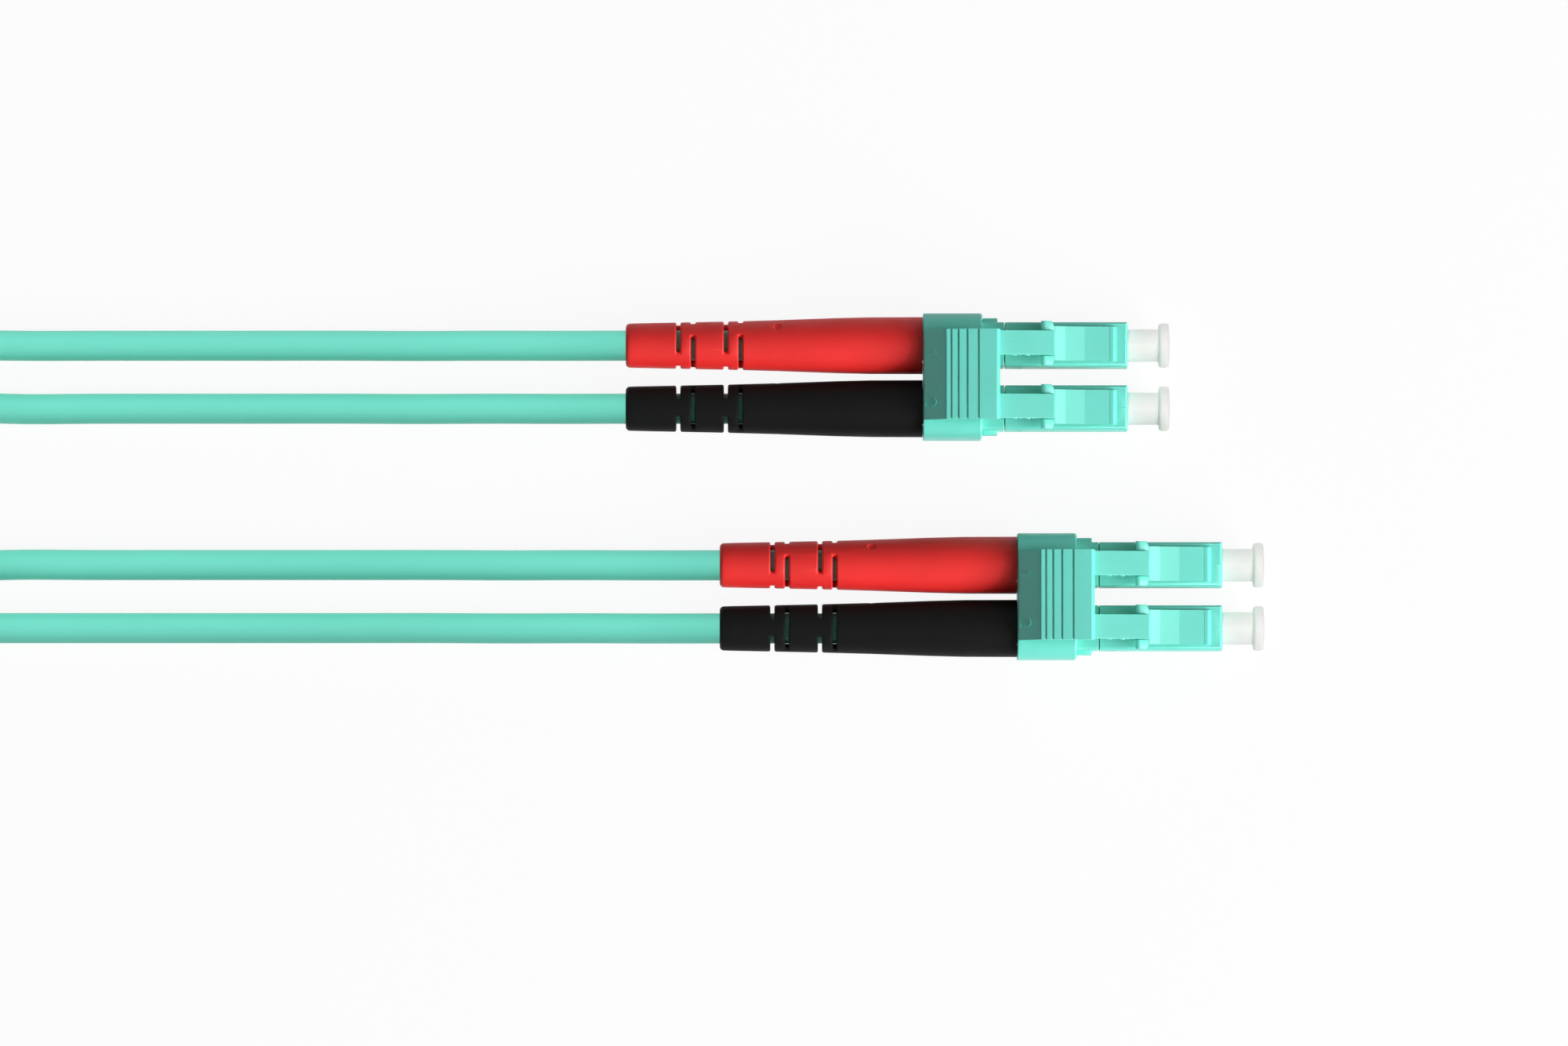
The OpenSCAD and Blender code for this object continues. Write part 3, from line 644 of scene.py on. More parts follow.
RING_START, RING_STEP, RINGS = 1.2, 1.15, 25        # plain rings between the boot's features
RING_CLEAR = 0.35                       # how near to a feature a plain ring may come


def boot_radius(station):
    """The outer radius at a distance from the tail, on straight lines between the profile's points."""
    for (x0, r0), (x1, r1) in zip(BOOT_RADII, BOOT_RADII[1:]):
        if station <= x1:
            return r0 + (r1 - r0) * (station - x0) / (x1 - x0)
    return BOOT_RADII[-1][1]


def boot_slots(turn):
    """The slots as (start, end, the angle that each is centred on)."""
    slots = []
    for pair in range(SLOT_PAIRS):
        for crossed in (0, 1):
            middle = SLOT_START + pair * SLOT_PERIOD + crossed * SLOT_GAP
            for side in (90, 270):
                slots.append((middle - SLOT_W / 2, middle + SLOT_W / 2, side - 90 * crossed - turn))
    return slots


def boot_rings(slots):
    """(station, outer radius, inner radius) along the boot, from its tail to its front."""
    tail_arc = arc((TAIL_ROUND, boot_radius(0) - TAIL_ROUND), TAIL_ROUND, 180, 90, 4)
    rings = [(x, r, BOOT_BORE_R) for x, r in tail_arc]
    plain = [RING_START + RING_STEP * i for i in range(RINGS)]
    edges = sorted({x for start, end, _ in slots for x in (start, end)})
    clear = [x for x in plain if all(abs(x - e) > RING_CLEAR for e in edges + [SEAM_STATION])]
    seam = [SEAM_STATION - SEAM_HALF, SEAM_STATION, SEAM_STATION + SEAM_HALF]
    socket = BOOT_SOCKET - BOOT_TAIL
    for x in sorted(edges + clear + seam + [BOOT_LEN]):
        dip = SEAM_DEPTH if x == SEAM_STATION else 0
        rings.append((x, boot_radius(x) - dip, BOOT_BORE_R if x < socket else BOOT_SOCKET_R))
    return rings


def boot_shell(turn):
    """The boot's two walls as a grid of cells, with the slots' cells left out and their rims closed."""
    slots = boot_slots(turn)
    rings = boot_rings(slots)
    n = BOOT_SEGMENTS
    points = []
    for wall in (1, 2):
        for ring in rings:
            for k in range(n):
                angle = 2 * math.pi * k / n
                y, z = ring[wall] * math.sin(angle), ring[wall] * math.cos(angle)
                points.append((BOOT_TAIL + ring[0], y, z))

    def at(wall, i, k):
        """The index of point k of ring i, on the outer (0) or inner (1) wall."""
        return wall * len(rings) * n + i * n + k % n

    def is_open(i, k):
        """Whether a cell lies in a slot, or None past the boot's two ends."""
        if not 0 <= i < len(rings) - 1:
            return None
        middle = (rings[i][0] + rings[i + 1][0]) / 2
        angle = 360 * (k % n + 0.5) / n
        return any(start < middle < end and abs((angle - centre + 180) % 360 - 180) < SLOT_HALF_ANGLE
                   for start, end, centre in slots)

    faces = []
    for i in range(len(rings) - 1):
        for k in range(n):
            if is_open(i, k):
                continue
            for wall in (0, 1):
                faces.append((at(wall, i, k), at(wall, i, k + 1), at(wall, i + 1, k + 1), at(wall, i + 1, k)))
            rims = [(is_open(i - 1, k), (i, k), (i, k + 1)),
                    (is_open(i + 1, k), (i + 1, k), (i + 1, k + 1)),
                    (is_open(i, k - 1), (i, k), (i + 1, k)),
                    (is_open(i, k + 1), (i, k + 1), (i + 1, k + 1))]
            for opening, a, b in rims:
                if opening is None or opening:
                    faces.append((at(0, *a), at(0, *b), at(1, *b), at(1, *a)))
    shell = from_faces(points, faces)
    loose = [v for v in shell.verts if not v.link_faces]
    bmesh.ops.delete(shell, geom=loose, context="VERTS")
    return shell


# %% The gate mark and the finished boots
GATE_STATION = SEAM_STATION
GATE_ANGLE = 90                         # from straight up, on a boot that isn't turned
DIMPLE_DEPTH, DIMPLE_CURVE = 0.2, 0.75
VESTIGE_R = 0.13
BOOT_TURN = {"red": 45, "black": 0}
RUBBER = {"red": red_rubber, "black": black_rubber}


def gate_ball(radius, reach, turn):
    """A ball on the gate's radius, at a distance from the boot's axis."""
    ball = bmesh.new()
    bmesh.ops.create_uvsphere(ball, u_segments=32, v_segments=24, radius=radius)
    angle = math.radians(GATE_ANGLE - turn)
    place = (BOOT_TAIL + GATE_STATION, reach * math.sin(angle), reach * math.cos(angle))
    ball.transform(Matrix.Translation(place))
    return ball


def with_gate(shell, turn):
    """The shell with the dimple where the rubber was injected, and the stub that broke off in it."""
    surface = boot_radius(GATE_STATION)
    dimple = gate_ball(DIMPLE_CURVE, surface + DIMPLE_CURVE - DIMPLE_DEPTH, turn)
    dimpled = combined(shell, [dimple], "DIFFERENCE")
    return combined(dimpled, [gate_ball(VESTIGE_R, surface - DIMPLE_DEPTH, turn)], "UNION")


def on_slot(edge):
    """Whether an edge lies on a slot's rim, clear of the boot's two ends."""
    along = [v.co.x - BOOT_TAIL for v in edge.verts]
    return min(along) > TAIL_ROUND and max(along) < BOOT_LEN / 2


for end, colour in CONNECTORS:
    turn = BOOT_TURN[colour]
    shell = rounded(boot_shell(turn), SLOT_ROUND, chosen=on_slot, sharper_than=50)
    finished(with_gate(shell, turn), f"{end}_{colour}_boot_rubber", connector_origin(end, colour),
             RUBBER[colour], "patch_cord", f"{end}_{colour}_boot")

# %% [markdown]
# ## The clip, the rear bodies and the housings
# These are square mouldings whose shape the CAD already holds exactly. Each is taken over as a merged
# copy, and its edges are rounded by the amount that the real moulding has.

# %% The clips
CLIP_LEN = 5.85
CLIP_FRONT_ROUND = 0.3
CLIP_EDGE = 0.08
CLIP_RIM_Y, CLIP_RIM_Z = 5.5, 2.6       # edges that reach past either lie on the outer rim


def on_clip_front(edge):
    """True for the outer rim of the clip's front face."""
    reach = max(abs(v.co.y) for v in edge.verts)
    rim = max(abs(v.co.z) for v in edge.verts)
    at_front = all(abs(v.co.x - CLIP_LEN) < CAD_WELD for v in edge.verts)
    return at_front and (reach > CLIP_RIM_Y or rim > CLIP_RIM_Z)


for end in ENDS:
    clip = cad_solid(f"{end}_clip", plug_origin(end))
    rounded(clip, CLIP_FRONT_ROUND, on_clip_front, segments=4)
    rounded(clip, CLIP_EDGE, sharper_than=50, segments=2)
    finished(clip, f"{end}_clip_shell", plug_origin(end), teal_plastic, "patch_cord",
             f"{end}_clip")

# %% The rear bodies and the front housings
BODY_EDGE = 0.07
HOUSING_TOP = 2.2
GATE_LINE = (19.35, 20.04)       # the runner's mark on top of the nose
TICK_HALF = 0.16                 # half width of the tick at the mark's rear end
MARK_RISE = 0.02
MARK_W = 0.06


def housing_marks():
    rise = (HOUSING_TOP - MARK_RISE, HOUSING_TOP + MARK_RISE)
    line = box_outline(*GATE_LINE, -MARK_W / 2, MARK_W / 2)
    tick = box_outline(GATE_LINE[0] - MARK_W, GATE_LINE[0], -TICK_HALF, TICK_HALF)
    return [prism(line, *rise, "Z"), prism(tick, *rise, "Z")]


for end, colour in CONNECTORS:
    name = f"{end}_{colour}"
    place = connector_origin(end, colour)
    body, housing = [rounded(cad_solid(f"{name}_{part}", place), BODY_EDGE, sharper_than=50, segments=2)
                     for part in ("rear_body", "front_housing")]
    finished(body, f"{name}_rear_body_shell", place, teal_plastic, "patch_cord",
             f"{name}_rear_body")
    finished(combined(housing, housing_marks(), "UNION"), f"{name}_housing_shell", place, teal_plastic,
             "patch_cord", f"{name}_front_housing")

# %% [markdown]
# ## The latches
# A latch is one springy blade, moulded with two ears that catch in the socket and a tail that the
# trigger's arm presses. Its side view is an outline with a smooth curve along the blade, drawn out to
# the blade's width; the ears and the tail are added, and the edges are rounded. Each ear carries a low
# hump beside the trigger's arm, cut out of one long prism by the ears' own plan.

# %% The latches
LATCH_PIVOT = (18.05, 2.55)
LATCH_R = 0.3
LATCH_W = 3.4
LATCH_TOP = 3.9
LATCH_FRONT, LATCH_FACE = 18.385, 0.15      # a hair's breadth from the housing's root, and its flat face
LATCH_EDGE = 0.06
BLADE_TOP = [(16.0, 3.055), (15.85, 3.075), (14.07, 3.465), (13.93, 3.5), (13.05, 3.86),
             (12.9, LATCH_TOP)]
BLADE_UNDER = [(13.4, 3.13), (14.4, 2.93), (16.0, 2.57)]
TAIL_X, TAIL_W, TAIL_LIFT, TAIL_THICK, TAIL_ROOT = 9.3, 2.0, 0.35, 0.55, 0.1
EAR_FRONT, EAR_REAR, EAR_W, EAR_UNDER, EAR_SLOPE = 12.9, 11.62, 4.4, 3.25, 0.22
CAM_FOOT = 3.6              # how deep a hump is rooted in its ear
CAM = [(EAR_FRONT, LATCH_TOP), (12.1, 4.21), (11.98, 4.245), (11.88, 4.245), (11.76, 4.215),
       (EAR_REAR, 4.15)]
CAM_GAP = 1.27              # half the width left free for the trigger's arm
CAM_INSET, CAM_ROUND = 0.01, 0.04
CLEAR_TOP = 2 * LATCH_TOP   # well above every piece of a latch


def ear_plan(inset=0.0):
    """The ears seen from above, with their front corners cut."""
    rear, front, side = EAR_REAR + inset, EAR_FRONT - inset, EAR_W / 2 - inset
    return [(rear, -side), (front - EAR_SLOPE, -side), (front, -LATCH_W / 2), (front, LATCH_W / 2),
            (front - EAR_SLOPE, side), (rear, side)]


def ear_cams():
    """The humps on the ears, one on each side of the trigger's arm."""
    humps = prism([(EAR_FRONT, CAM_FOOT), *CAM, (EAR_REAR, CAM_FOOT)], -EAR_W / 2, EAR_W / 2, "Y")
    humps = combined(humps, [prism(ear_plan(CAM_INSET), EAR_UNDER, CLEAR_TOP, "Z")], "INTERSECT")
    between = prism(box_outline(0, 2 * EAR_FRONT, EAR_UNDER, CLEAR_TOP), -CAM_GAP, CAM_GAP, "Y")
    return rounded(combined(humps, [between], "DIFFERENCE"), CAM_ROUND, sharper_than=75, segments=2)


def latch_solid():
    top = LATCH_PIVOT[1] + LATCH_R
    barrel = arc(LATCH_PIVOT, LATCH_R, -90, -10, 5) + [(LATCH_FRONT, top - LATCH_FACE), (LATCH_FRONT, top)]
    ears = [(EAR_REAR, LATCH_TOP), (EAR_REAR, EAR_UNDER), (EAR_FRONT, EAR_UNDER)]
    root, tip = EAR_REAR + TAIL_ROOT, LATCH_TOP + TAIL_LIFT
    tail = [(root, EAR_UNDER), (root, LATCH_TOP), (TAIL_X, tip), (TAIL_X, tip - TAIL_THICK)]
    parts = [prism(tail, -TAIL_W / 2, TAIL_W / 2, "Y"), prism(ear_plan(), EAR_UNDER, LATCH_TOP, "Z")]
    blade = prism(barrel + BLADE_TOP + ears + BLADE_UNDER, -LATCH_W / 2, LATCH_W / 2, "Y")
    solid = rounded(combined(blade, parts, "UNION"), LATCH_EDGE, sharper_than=40, segments=2)
    return combined(solid, [ear_cams()], "UNION")


for end, colour in CONNECTORS:
    name = f"{end}_{colour}"
    finished(latch_solid(), f"{name}_latch_blade", connector_origin(end, colour), teal_plastic,
             f"{name}_latch_body", f"{name}_latch")

# %% [markdown]
# ## The triggers
# The trigger is the piece that a thumb presses. Its plate rises from the hinge over a smooth ramp, and
# four finger ribs step up to a flat pad. Each rib is wider than the one behind it, by a constant
# factor, so Geometry Nodes place them: a line of points whose spacing grows, with a bar on each.

# %% The finger ribs
RIB_COUNT = 4
RIB_FIRST = 0.556        # pitch of the rearmost rib
RIB_GROWTH = 1.26        # each pitch is this many times the one before
RIB_GROOVE = 0.14
RIB_START = 2.25
RIB_LOW, RIB_HIGH = 5.55, 6.0
RIB_DEPTH = 0.6          # height of a bar, whose foot is sunk in the plate
TRIGGER_W = 8.9


def rib_tree():
    """Bars along X whose pitch grows by a constant factor, each a step higher than the last."""
    sizes = ("First Pitch", "Growth", "Groove", "Width", "Depth", "Rise")
    tree = Tree("finger_ribs", {"Count": "Int", **dict.fromkeys(sizes, "Float"), "Material": "Material"})
    given = tree.given
    index = tree.node("GeometryNodeInputIndex").outputs["Index"]
    line = tree.node("GeometryNodeMeshLine", {"Count": given["Count"]}, mode="OFFSET").outputs["Mesh"]
    power = tree.math("POWER", given["Growth"], index)
    pitch = tree.math("MULTIPLY", given["First Pitch"], power)
    length = tree.math("SUBTRACT", pitch, given["Groove"])
    grown_by = tree.math("SUBTRACT", power, 1.0)
    run = tree.math("DIVIDE", grown_by, tree.math("SUBTRACT", given["Growth"], 1.0))
    start = tree.math("MULTIPLY", given["First Pitch"], run)
    middle = tree.math("ADD", start, tree.math("DIVIDE", length, 2.0))
    height = tree.math("MULTIPLY", given["Rise"], tree.math("DIVIDE", index, given["Count"]))
    spot = tree.node("ShaderNodeCombineXYZ", {"X": middle, "Z": height}).outputs["Vector"]
    placed = tree.node("GeometryNodeSetPosition", {"Geometry": line, "Position": spot}).outputs["Geometry"]
    size = tree.node("ShaderNodeCombineXYZ", {"X": 1.0, "Y": given["Width"], "Z": given["Depth"]})
    bar = tree.node("GeometryNodeMeshCube", {"Size": size.outputs["Vector"]}).outputs["Mesh"]
    stretch = tree.node("ShaderNodeCombineXYZ", {"X": length, "Y": 1.0, "Z": 1.0}).outputs["Vector"]
    bars = tree.node("GeometryNodeInstanceOnPoints", {"Points": placed, "Instance": bar, "Scale": stretch})
    tree.end(bars.outputs["Instances"])
    return tree


def finger_ribs():
    mesh = grown(rib_tree(), bpy.data.meshes.new("empty"),
                 {"Count": RIB_COUNT, "First Pitch": RIB_FIRST, "Growth": RIB_GROWTH, "Groove": RIB_GROOVE,
                  "Width": TRIGGER_W, "Depth": RIB_DEPTH, "Rise": RIB_HIGH - RIB_LOW,
                  "Material": teal_plastic.material})
    ribs = bmesh.new()
    ribs.from_mesh(mesh)
    ribs.transform(Matrix.Translation((RIB_START, 0, RIB_LOW - RIB_DEPTH / 2)))
    return ribs


# %% [markdown]
# The ramp carries the plain numerals 1 and 2 in thin raised lines, one behind each connector, and the
# arms keep small traces of their moulding: a parting line along the top and flash along one edge.

# %% The trigger's plate and arms
TRIGGER_PIVOT = (0.5, 3.65)
TRIGGER_R = 0.45
TRIGGER_EDGE = 0.06
PAD_START, PAD_END, PAD_TOP = 5.5, 7.25, 6.0
TRIGGER_FRONT, PLATE_UNDER = 7.55, 5.0
RAMP_REAR, RAMP_TOP = (0.1, 3.88), (2.25, 5.45)
RAMP_UNDER = [(0.95, 3.5), (3.1, PLATE_UNDER)]
GROOVE_DEPTH = 0.22
RIB_BED = [(PAD_START, PAD_TOP - GROOVE_DEPTH), (PAD_START - RIB_GROOVE, PAD_TOP - GROOVE_DEPTH),
           (RIB_START + 0.7, RIB_LOW - 0.1), (RIB_START + 0.1, RIB_LOW - 0.12)]
ARM_ROOT_TOP, ARM_TIP_TOP, ARM_TIP_X, ARM_THICK, ARM_W = 5.4, 4.8, 12.9, 0.75, 2.4
ARM_ROOTED = 1              # how far an arm reaches back into the plate
AXIS_SPACING = 6.25
NUMERAL_R = 0.36            # of the bow of the 2
NUMERALS = {2.1: [(-0.25, 0.98), (0.05, 1.25), (0.05, 0)],
            -2.7: [(-NUMERAL_R, 0.93), *arc((0, 0.9), NUMERAL_R, 150, -30, 12), (-0.38, 0), (0.42, 0)]}
NUMERAL_LINE, NUMERAL_RISE, NUMERAL_FOOT = 0.15, 0.11, 0.15
LINE_MARGIN, LINE_RISES = 0.1, (0.005, 0.025)       # of the parting line, at the arm's root and tip
FLASH = [(8.85, 0.09), (9.05, 0.12), (9.5, 0.08), (10.15, 0.1), (10.35, 0.13), (10.8, 0.08)]
FLASH_STRETCH = (1.5, 1, 0.8, 1)
FLASH_SLOPE = 0.11          # the flash falls with the arm


def numerals():
    """The raised numerals, drawn flat and then laid on the ramp with their tops towards the plate."""
    slope = (Vector(RAMP_TOP) - Vector(RAMP_REAR)).normalized()
    foot = Vector(RAMP_REAR) + slope * NUMERAL_FOOT
    solids = []
    for y, line in NUMERALS.items():
        solid = prism(band(line, NUMERAL_LINE), -NUMERAL_RISE, NUMERAL_RISE, "Z")
        solid.transform(Matrix(((0, slope.x, -slope.y, foot.x), (-1, 0, 0, y),
                                (0, slope.y, slope.x, foot.y), (0, 0, 0, 1))))
        bmesh.ops.recalc_face_normals(solid, faces=solid.faces)
        solids.append(solid)
    return solids


def arm_marks(axis_y):
    """The parting line on top of one arm, and the flash along its near edge."""
    start, stop = TRIGGER_FRONT + LINE_MARGIN, ARM_TIP_X - LINE_MARGIN
    line = [(start, ARM_ROOT_TOP - LINE_MARGIN), (start, ARM_ROOT_TOP + LINE_RISES[0]),
            (stop, ARM_TIP_TOP + LINE_RISES[1]), (stop, ARM_TIP_TOP - LINE_MARGIN)]
    solids = [prism(line, axis_y - MARK_W / 2, axis_y + MARK_W / 2, "Y")]
    for x, radius in FLASH:
        blob = bmesh.new()
        bmesh.ops.create_icosphere(blob, subdivisions=2, radius=radius)
        height = ARM_ROOT_TOP - ARM_THICK / 2 - FLASH_SLOPE * (x - TRIGGER_FRONT)
        place = Matrix.Translation((x, axis_y - ARM_W / 2, height))
        blob.transform(place @ Matrix.Diagonal(FLASH_STRETCH))
        solids.append(blob)
    return solids


def trigger_solid():
    barrel = arc(TRIGGER_PIVOT, TRIGGER_R, 155, 330, 10)[1:-1]
    pad = [(TRIGGER_FRONT, PLATE_UNDER), (TRIGGER_FRONT, ARM_ROOT_TOP), (PAD_END, PAD_TOP),
           (PAD_START, PAD_TOP)]
    plate = pad + RIB_BED + [RAMP_TOP, RAMP_REAR] + barrel + RAMP_UNDER
    arm = [(TRIGGER_FRONT - ARM_ROOTED, ARM_ROOT_TOP), (TRIGGER_FRONT, ARM_ROOT_TOP),
           (ARM_TIP_X, ARM_TIP_TOP)]
    arm += [(x, z - ARM_THICK) for x, z in arm[::-1]]
    arms = [prism(arm, y - ARM_W / 2, y + ARM_W / 2, "Y") for y in (-AXIS_SPACING / 2, AXIS_SPACING / 2)]
    solid = combined(prism(plate, -TRIGGER_W / 2, TRIGGER_W / 2, "Y"), [finger_ribs()] + arms, "UNION")
    marks = numerals() + arm_marks(AXIS_SPACING / 2) + arm_marks(-AXIS_SPACING / 2)
    return combined(rounded(solid, TRIGGER_EDGE, sharper_than=35, segments=2), marks, "UNION")


for end in ENDS:
    finished(trigger_solid(), f"{end}_trigger_plate", plug_origin(end), teal_plastic,
             f"{end}_trigger_body", f"{end}_trigger")

# %% [markdown]
# ## The dust caps
# A soft white cap keeps the ferrule's end clean. It is turned: a neck that plugs into the housing, a
# thick rounded rim to pull it by, and the bore that grips the ferrule.

# %% The dust caps
CAP_MOUTH, CAP_RIM_REAR, CAP_END = 17.75, 23.3, 24.4
CAP_NECK_R, CAP_RIM_R, CAP_ROUND = 1.6, 2.2, 0.3
CAP_BORE_R, CAP_BORE_END = 0.645, 22.3
CAP_DOME, CAP_DOME_R = 0.08, 1.0
CAP_CHAMFER, CAP_BORE_CHAMFER = 0.15, 0.1
CAP_FILLET = [(-0.15, 0), (-0.04, 0.04), (0, 0.13)]     # from the corner of neck and rim


def cap_solid():
    outline = ([(CAP_MOUTH, CAP_BORE_R + CAP_BORE_CHAMFER), (CAP_MOUTH, CAP_NECK_R - CAP_CHAMFER),
                (CAP_MOUTH + CAP_CHAMFER, CAP_NECK_R)]
               + [(CAP_RIM_REAR + x, CAP_NECK_R + r) for x, r in CAP_FILLET]
               + arc((CAP_RIM_REAR + CAP_ROUND, CAP_RIM_R - CAP_ROUND), CAP_ROUND, 180, 90, 6)
               + arc((CAP_END - CAP_DOME - CAP_ROUND, CAP_RIM_R - CAP_ROUND), CAP_ROUND, 90, 10, 6)
               + [(CAP_END - CAP_DOME / 4, CAP_DOME_R), (CAP_END, 0.0), (CAP_BORE_END, 0.0),
                  (CAP_BORE_END, CAP_BORE_R), (CAP_MOUTH + CAP_BORE_CHAMFER, CAP_BORE_R)])
    return turned(outline)


caps = []
for end, colour in CONNECTORS:
    name = f"{end}_{colour}"
    caps.append(finished(cap_solid(), f"{name}_cap", connector_origin(end, colour), cap_plastic,
                         f"{name}_dust_cap_body", f"{name}_dust_cap"))

# %% [markdown]
# ## The hank's tie
# A strap of hook-and-loop tape goes once round the hank's waist and laps over its own start. Its middle
# line is drawn from the side and given the strap's thickness, and that outline is drawn out to its width.

# %% The tie
TIE_LEN, TIE_THICK, TIE_CORNER = 12.0, 0.8, 2.4
TIE_EDGE = 0.15
TIE_START = 4                           # from mid width
TIE_LAP = [(2.2, 0.15), (0.6, 0.95), (-3, 0.95), (-10, 0.95)]       # over that start
NAP_SCALE, TUFT_SCALE = 2600, 1900
NAP_DEPTH = 0.12 * MM


def tie_finish():
    finish = Finish("tie_fabric")
    place = finish.place()
    nap = finish.noise(place, NAP_SCALE, detail=6)
    tufts = finish.node("ShaderNodeTexVoronoi", {"Vector": place, "Scale": TUFT_SCALE}).outputs["Distance"]
    finish.connect(finish.mixed(nap, linear((0.03, 0.03, 0.035)), linear((0.13, 0.13, 0.14))), "Base Color")
    finish.bump(finish.math("SUBTRACT", nap, tufts), NAP_DEPTH)
    finish.constants(Roughness=0.9, Sheen_Weight=0.4)
    return finish


def tie_outline():
    """The middle line of the strap in (Y, Z), once round with a lap, from inside to outside."""
    low, high = (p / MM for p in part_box("hank_tie"))
    inset = TIE_THICK / 2
    y0, y1, z0, z1 = low.y + inset, high.y - inset, low.z + inset, high.z - inset
    r = TIE_CORNER - inset
    start = (y0 + y1) / 2 + TIE_START
    loop = ([(start, z1), (y0 + r, z1)] + arc((y0 + r, z1 - r), r, 90, 180, 8)[1:]
            + [(y0, z0 + r)] + arc((y0 + r, z0 + r), r, 180, 270, 8)[1:] + [(y1 - r, z0)]
            + arc((y1 - r, z0 + r), r, 270, 360, 8)[1:] + [(y1, z1 - r)])
    lap = arc((y1 - r, z1 - r), r, 15, 75, 5) + [(y1 - r - 0.5, z1 + 0.05)]
    return loop + lap + [(start + y, z1 + z) for y, z in TIE_LAP]


def tie_solid():
    middle = HANK_X - HANK_LEAD - HANK_RUN / 2
    solid = prism(band(tie_outline(), TIE_THICK), middle - TIE_LEN / 2, middle + TIE_LEN / 2, "X")
    return rounded(solid, TIE_EDGE, sharper_than=60, segments=2)


tie = finished(tie_solid(), "hank_strap", Vector((0, 0, 0)), tie_finish(), "patch_cord",
               "hank_tie")

# %% [markdown]
# ## The pieces inside
# The ferrule, its flange, the spring, the buffered fibre, the yarn and the crimp sleeve have their real
# shape in CAD. They keep it, and each gets the finish of its material.

# %% Dress the inner pieces
INNER = {"ferrule": ceramic, "ferrule_flange": nickel, "spring": drawn_wire, "fibre": buffer_coat,
         "aramid_yarn": aramid, "crimp_sleeve": nickel}
for end, colour in CONNECTORS:
    for part, finish in INNER.items():
        dress(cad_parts[f"{end}_{colour}_{part}"].data, finish)
print("inner pieces dressed:", len(INNER) * len(CONNECTORS))

# %% [markdown]
# A ferrule is pushed back when two plugs meet, and its spring gets shorter by as much. The spring's rear end
# stands in the rear body's pocket. Here each spring only gets a mesh of its own and keeps its shape.

# %% Give the springs their own meshes
for end, colour in CONNECTORS:
    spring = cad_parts[f"{end}_{colour}_spring"]
    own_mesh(spring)

# %% [markdown]
# Each leg's real length and its points in metres are worked out below, but nothing is done with them. Both
# ends of each leg go into the object, at the crimps inside the boots.

EXITS = {"leg1": ("end1", "red"), "leg2": ("end1", "black")}
for leg, (end, colour) in EXITS.items():
    route_length(ROUTES[leg]) * MM
    [p * MM for p in ROUTES[leg]]

# %% [markdown]
# ## Floor, light and sky
# The object lies on plain white. The floor glows white only for rays that come straight from the camera
# or off a glossy surface, so it stays white without any more light on the object, and a share of plain
# diffuse white keeps the soft shadow under each piece.

# %% Floor and sky
FLOOR_SIZE = 6.0
FLOOR_DROP = 0.02 * MM      # keeps the floor out of the plane of the pieces' undersides
SHADOW_SHARE = 0.08
SKY_STRENGTH = 0.08


def white_for_camera(tree):
    """1 for camera, glossy and transmission rays, 0 for the rest."""
    rays = tree.node("ShaderNodeLightPath").outputs
    direct = tree.math("MAXIMUM", rays["Is Camera Ray"], rays["Is Glossy Ray"])
    return tree.math("MAXIMUM", direct, rays["Is Transmission Ray"])


paper = Finish("studio_floor")
paper.constants(Base_Color=(0.97, 0.97, 0.97, 1), Roughness=1.0)
glow = paper.node("ShaderNodeEmission", {"Color": (1, 1, 1, 1)}).outputs["Emission"]
share = paper.math("MULTIPLY", white_for_camera(paper), 1 - SHADOW_SHARE)
both = paper.node("ShaderNodeMixShader", {"Fac": share, 1: paper.shader.outputs["BSDF"], 2: glow})
paper.feed(paper.tree.nodes["Material Output"].inputs["Surface"], both.outputs["Shader"])

corners = box_outline(-FLOOR_SIZE / 2, FLOOR_SIZE / 2, -FLOOR_SIZE / 2, FLOOR_SIZE / 2)
floor_mesh = bpy.data.meshes.new("floor")
floor_mesh.from_pydata([(x, y, 0) for x, y in corners], [], [(0, 1, 2, 3)])
floor = bpy.data.objects.new("floor", floor_mesh)
floor.location.z = -FLOOR_DROP
floor_mesh.materials.append(paper.material)
bpy.context.scene.collection.objects.link(floor)

sky = bpy.data.worlds.new("studio")
bpy.context.scene.world = sky
sky.use_nodes = True
air = NodeTree(sky.node_tree)
level = air.node("ShaderNodeMapRange",
                 {"Value": white_for_camera(air), "To Min": SKY_STRENGTH, "To Max": 1.0})
background = air.tree.nodes["Background"]
air.feed(background.inputs["Color"], (1, 1, 1, 1))
air.feed(background.inputs["Strength"], level.outputs["Result"])
print("floor:", FLOOR_SIZE, "m wide; sky at", SKY_STRENGTH, "for all but camera rays")

# %% [markdown]
# Three groups of soft boxes, each linked to its own pieces, because one light can't show a matt cord, a
# dark boot and a glassy cap at once. The plugs' key stands low in front of their tips, a little to the
# near side: it draws bright front edges, leaves the ramps and the far sides darker, and throws the
# clip's shadow on the boots. The cords' lamps stand behind them, so that the boots' slots stay dark, and
# the caps' lamps go round them, so that white plastic keeps its form against white paper.

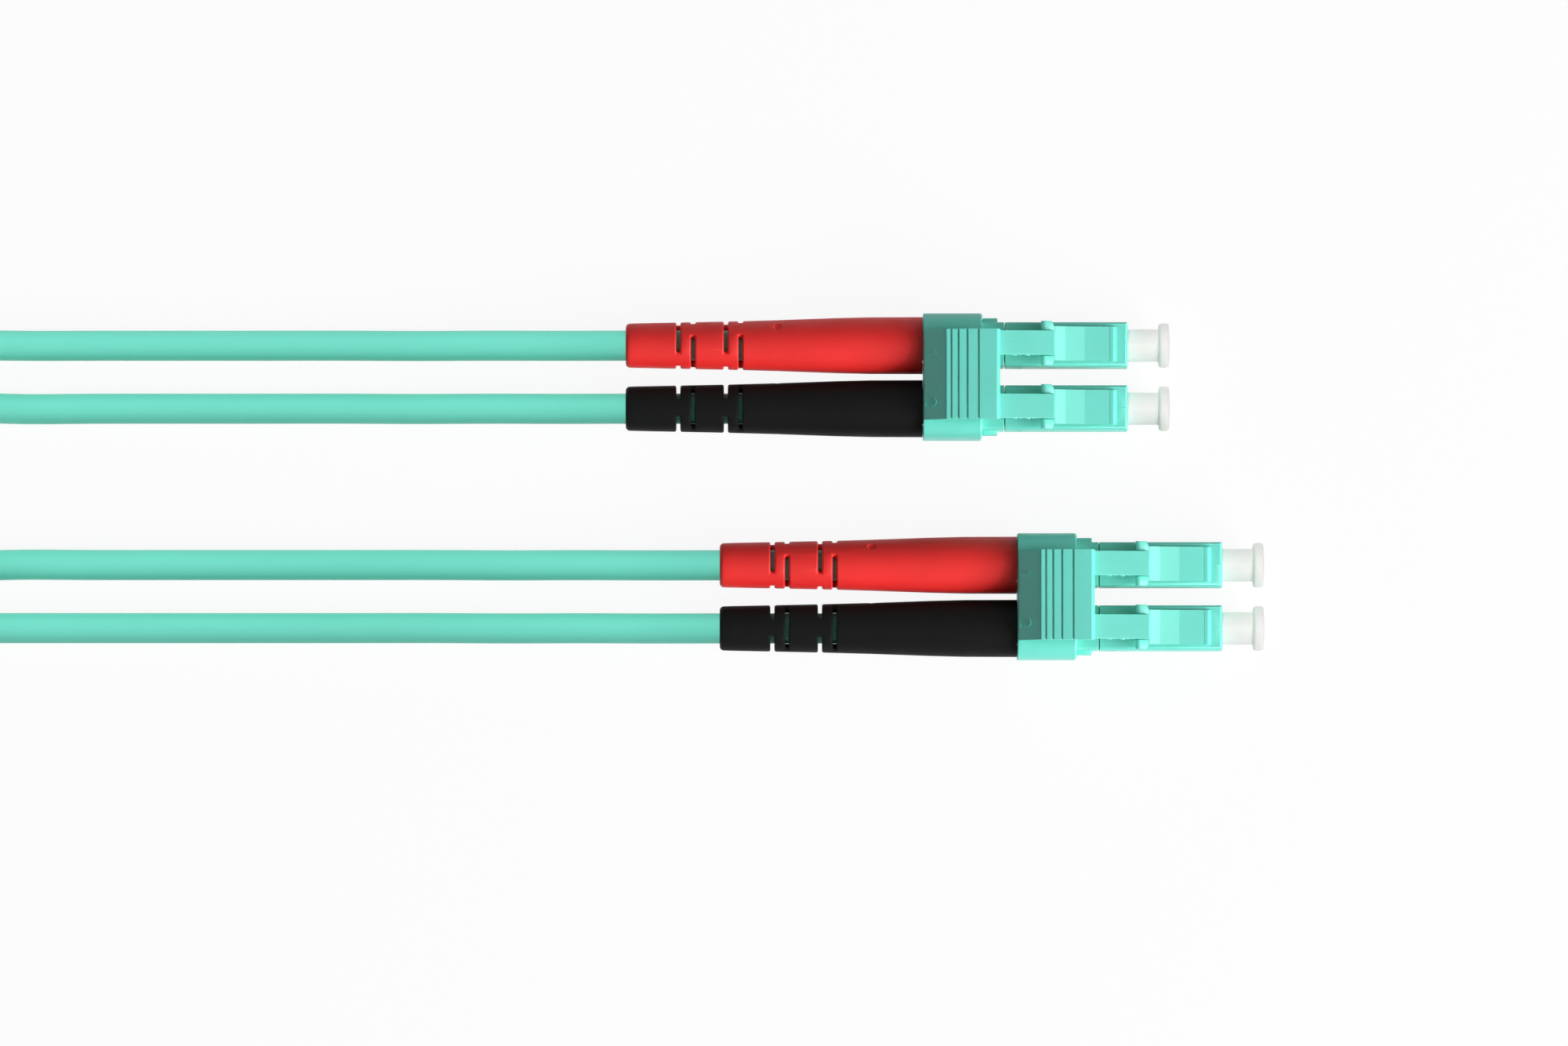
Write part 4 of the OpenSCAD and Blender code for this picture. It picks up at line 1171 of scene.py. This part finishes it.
# %% Lights
LAMP_DISTANCE = 0.9
# The lamps of a group, by name: azimuth from +X, elevation, width, height and power.
PLUG_LAMPS = {"key": (-14, 29, 0.45, 0.35, 4.7),
              "near": (-40, 25, 0.4, 0.3, 5.0),
              "high": (-14, 52, 0.45, 0.4, 1.8)}
CORD_LAMPS = {"cord_back": (180, 45, 0.4, 0.35, 3.6),
              "cord_near": (-140, 35, 0.4, 0.3, 1.9),
              "cord_far": (140, 40, 0.4, 0.4, 4.8)}
CAP_LAMPS = {"cap_top": (0, 85, 0.45, 0.45, 4.0),
             "cap_near": (-60, 30, 0.4, 0.4, 3.4),
             "cap_far": (100, 35, 0.4, 0.4, 2.4)}


def soft_box(name, target, azimuth, elevation, width, height, power):
    """An area light that faces a target: azimuth 0 is +X and 90 is +Y, in degrees."""
    a, e = math.radians(azimuth), math.radians(elevation)
    way = Vector((math.cos(a) * math.cos(e), math.sin(a) * math.cos(e), math.sin(e)))
    light = bpy.data.lights.new(name, "AREA")
    light.shape, light.size, light.size_y, light.energy = "RECTANGLE", width, height, power
    lamp = bpy.data.objects.new(name, light)
    lamp.location = Vector(target) * MM + way * LAMP_DISTANCE
    lamp.rotation_euler = (-way).to_track_quat("-Z", "Y").to_euler()
    bpy.context.scene.collection.objects.link(lamp)
    return lamp


def light_group(lamps, target, things, state):
    """Lamps round a target that light only these things (INCLUDE), or all but these (EXCLUDE)."""
    boxes = [soft_box(name, target, *lamp) for name, lamp in lamps.items()]
    group = bpy.data.collections.new("lit_group")
    for thing in things:
        group.objects.link(thing)
    for member in group.collection_objects:
        member.light_linking.link_state = state
    for box in boxes:
        box.light_linking.receiver_collection = group


jackets = list(legs.values())
light_group(PLUG_LAMPS, (0, 0, 0), jackets + caps, "EXCLUDE")
light_group(CORD_LAMPS, (-80, 0, 0), jackets, "INCLUDE")
light_group(CAP_LAMPS, (30, 0, 0), caps, "INCLUDE")
bpy.context.scene.view_settings.view_transform = "Standard"
print("lamps:", len(bpy.data.lights))
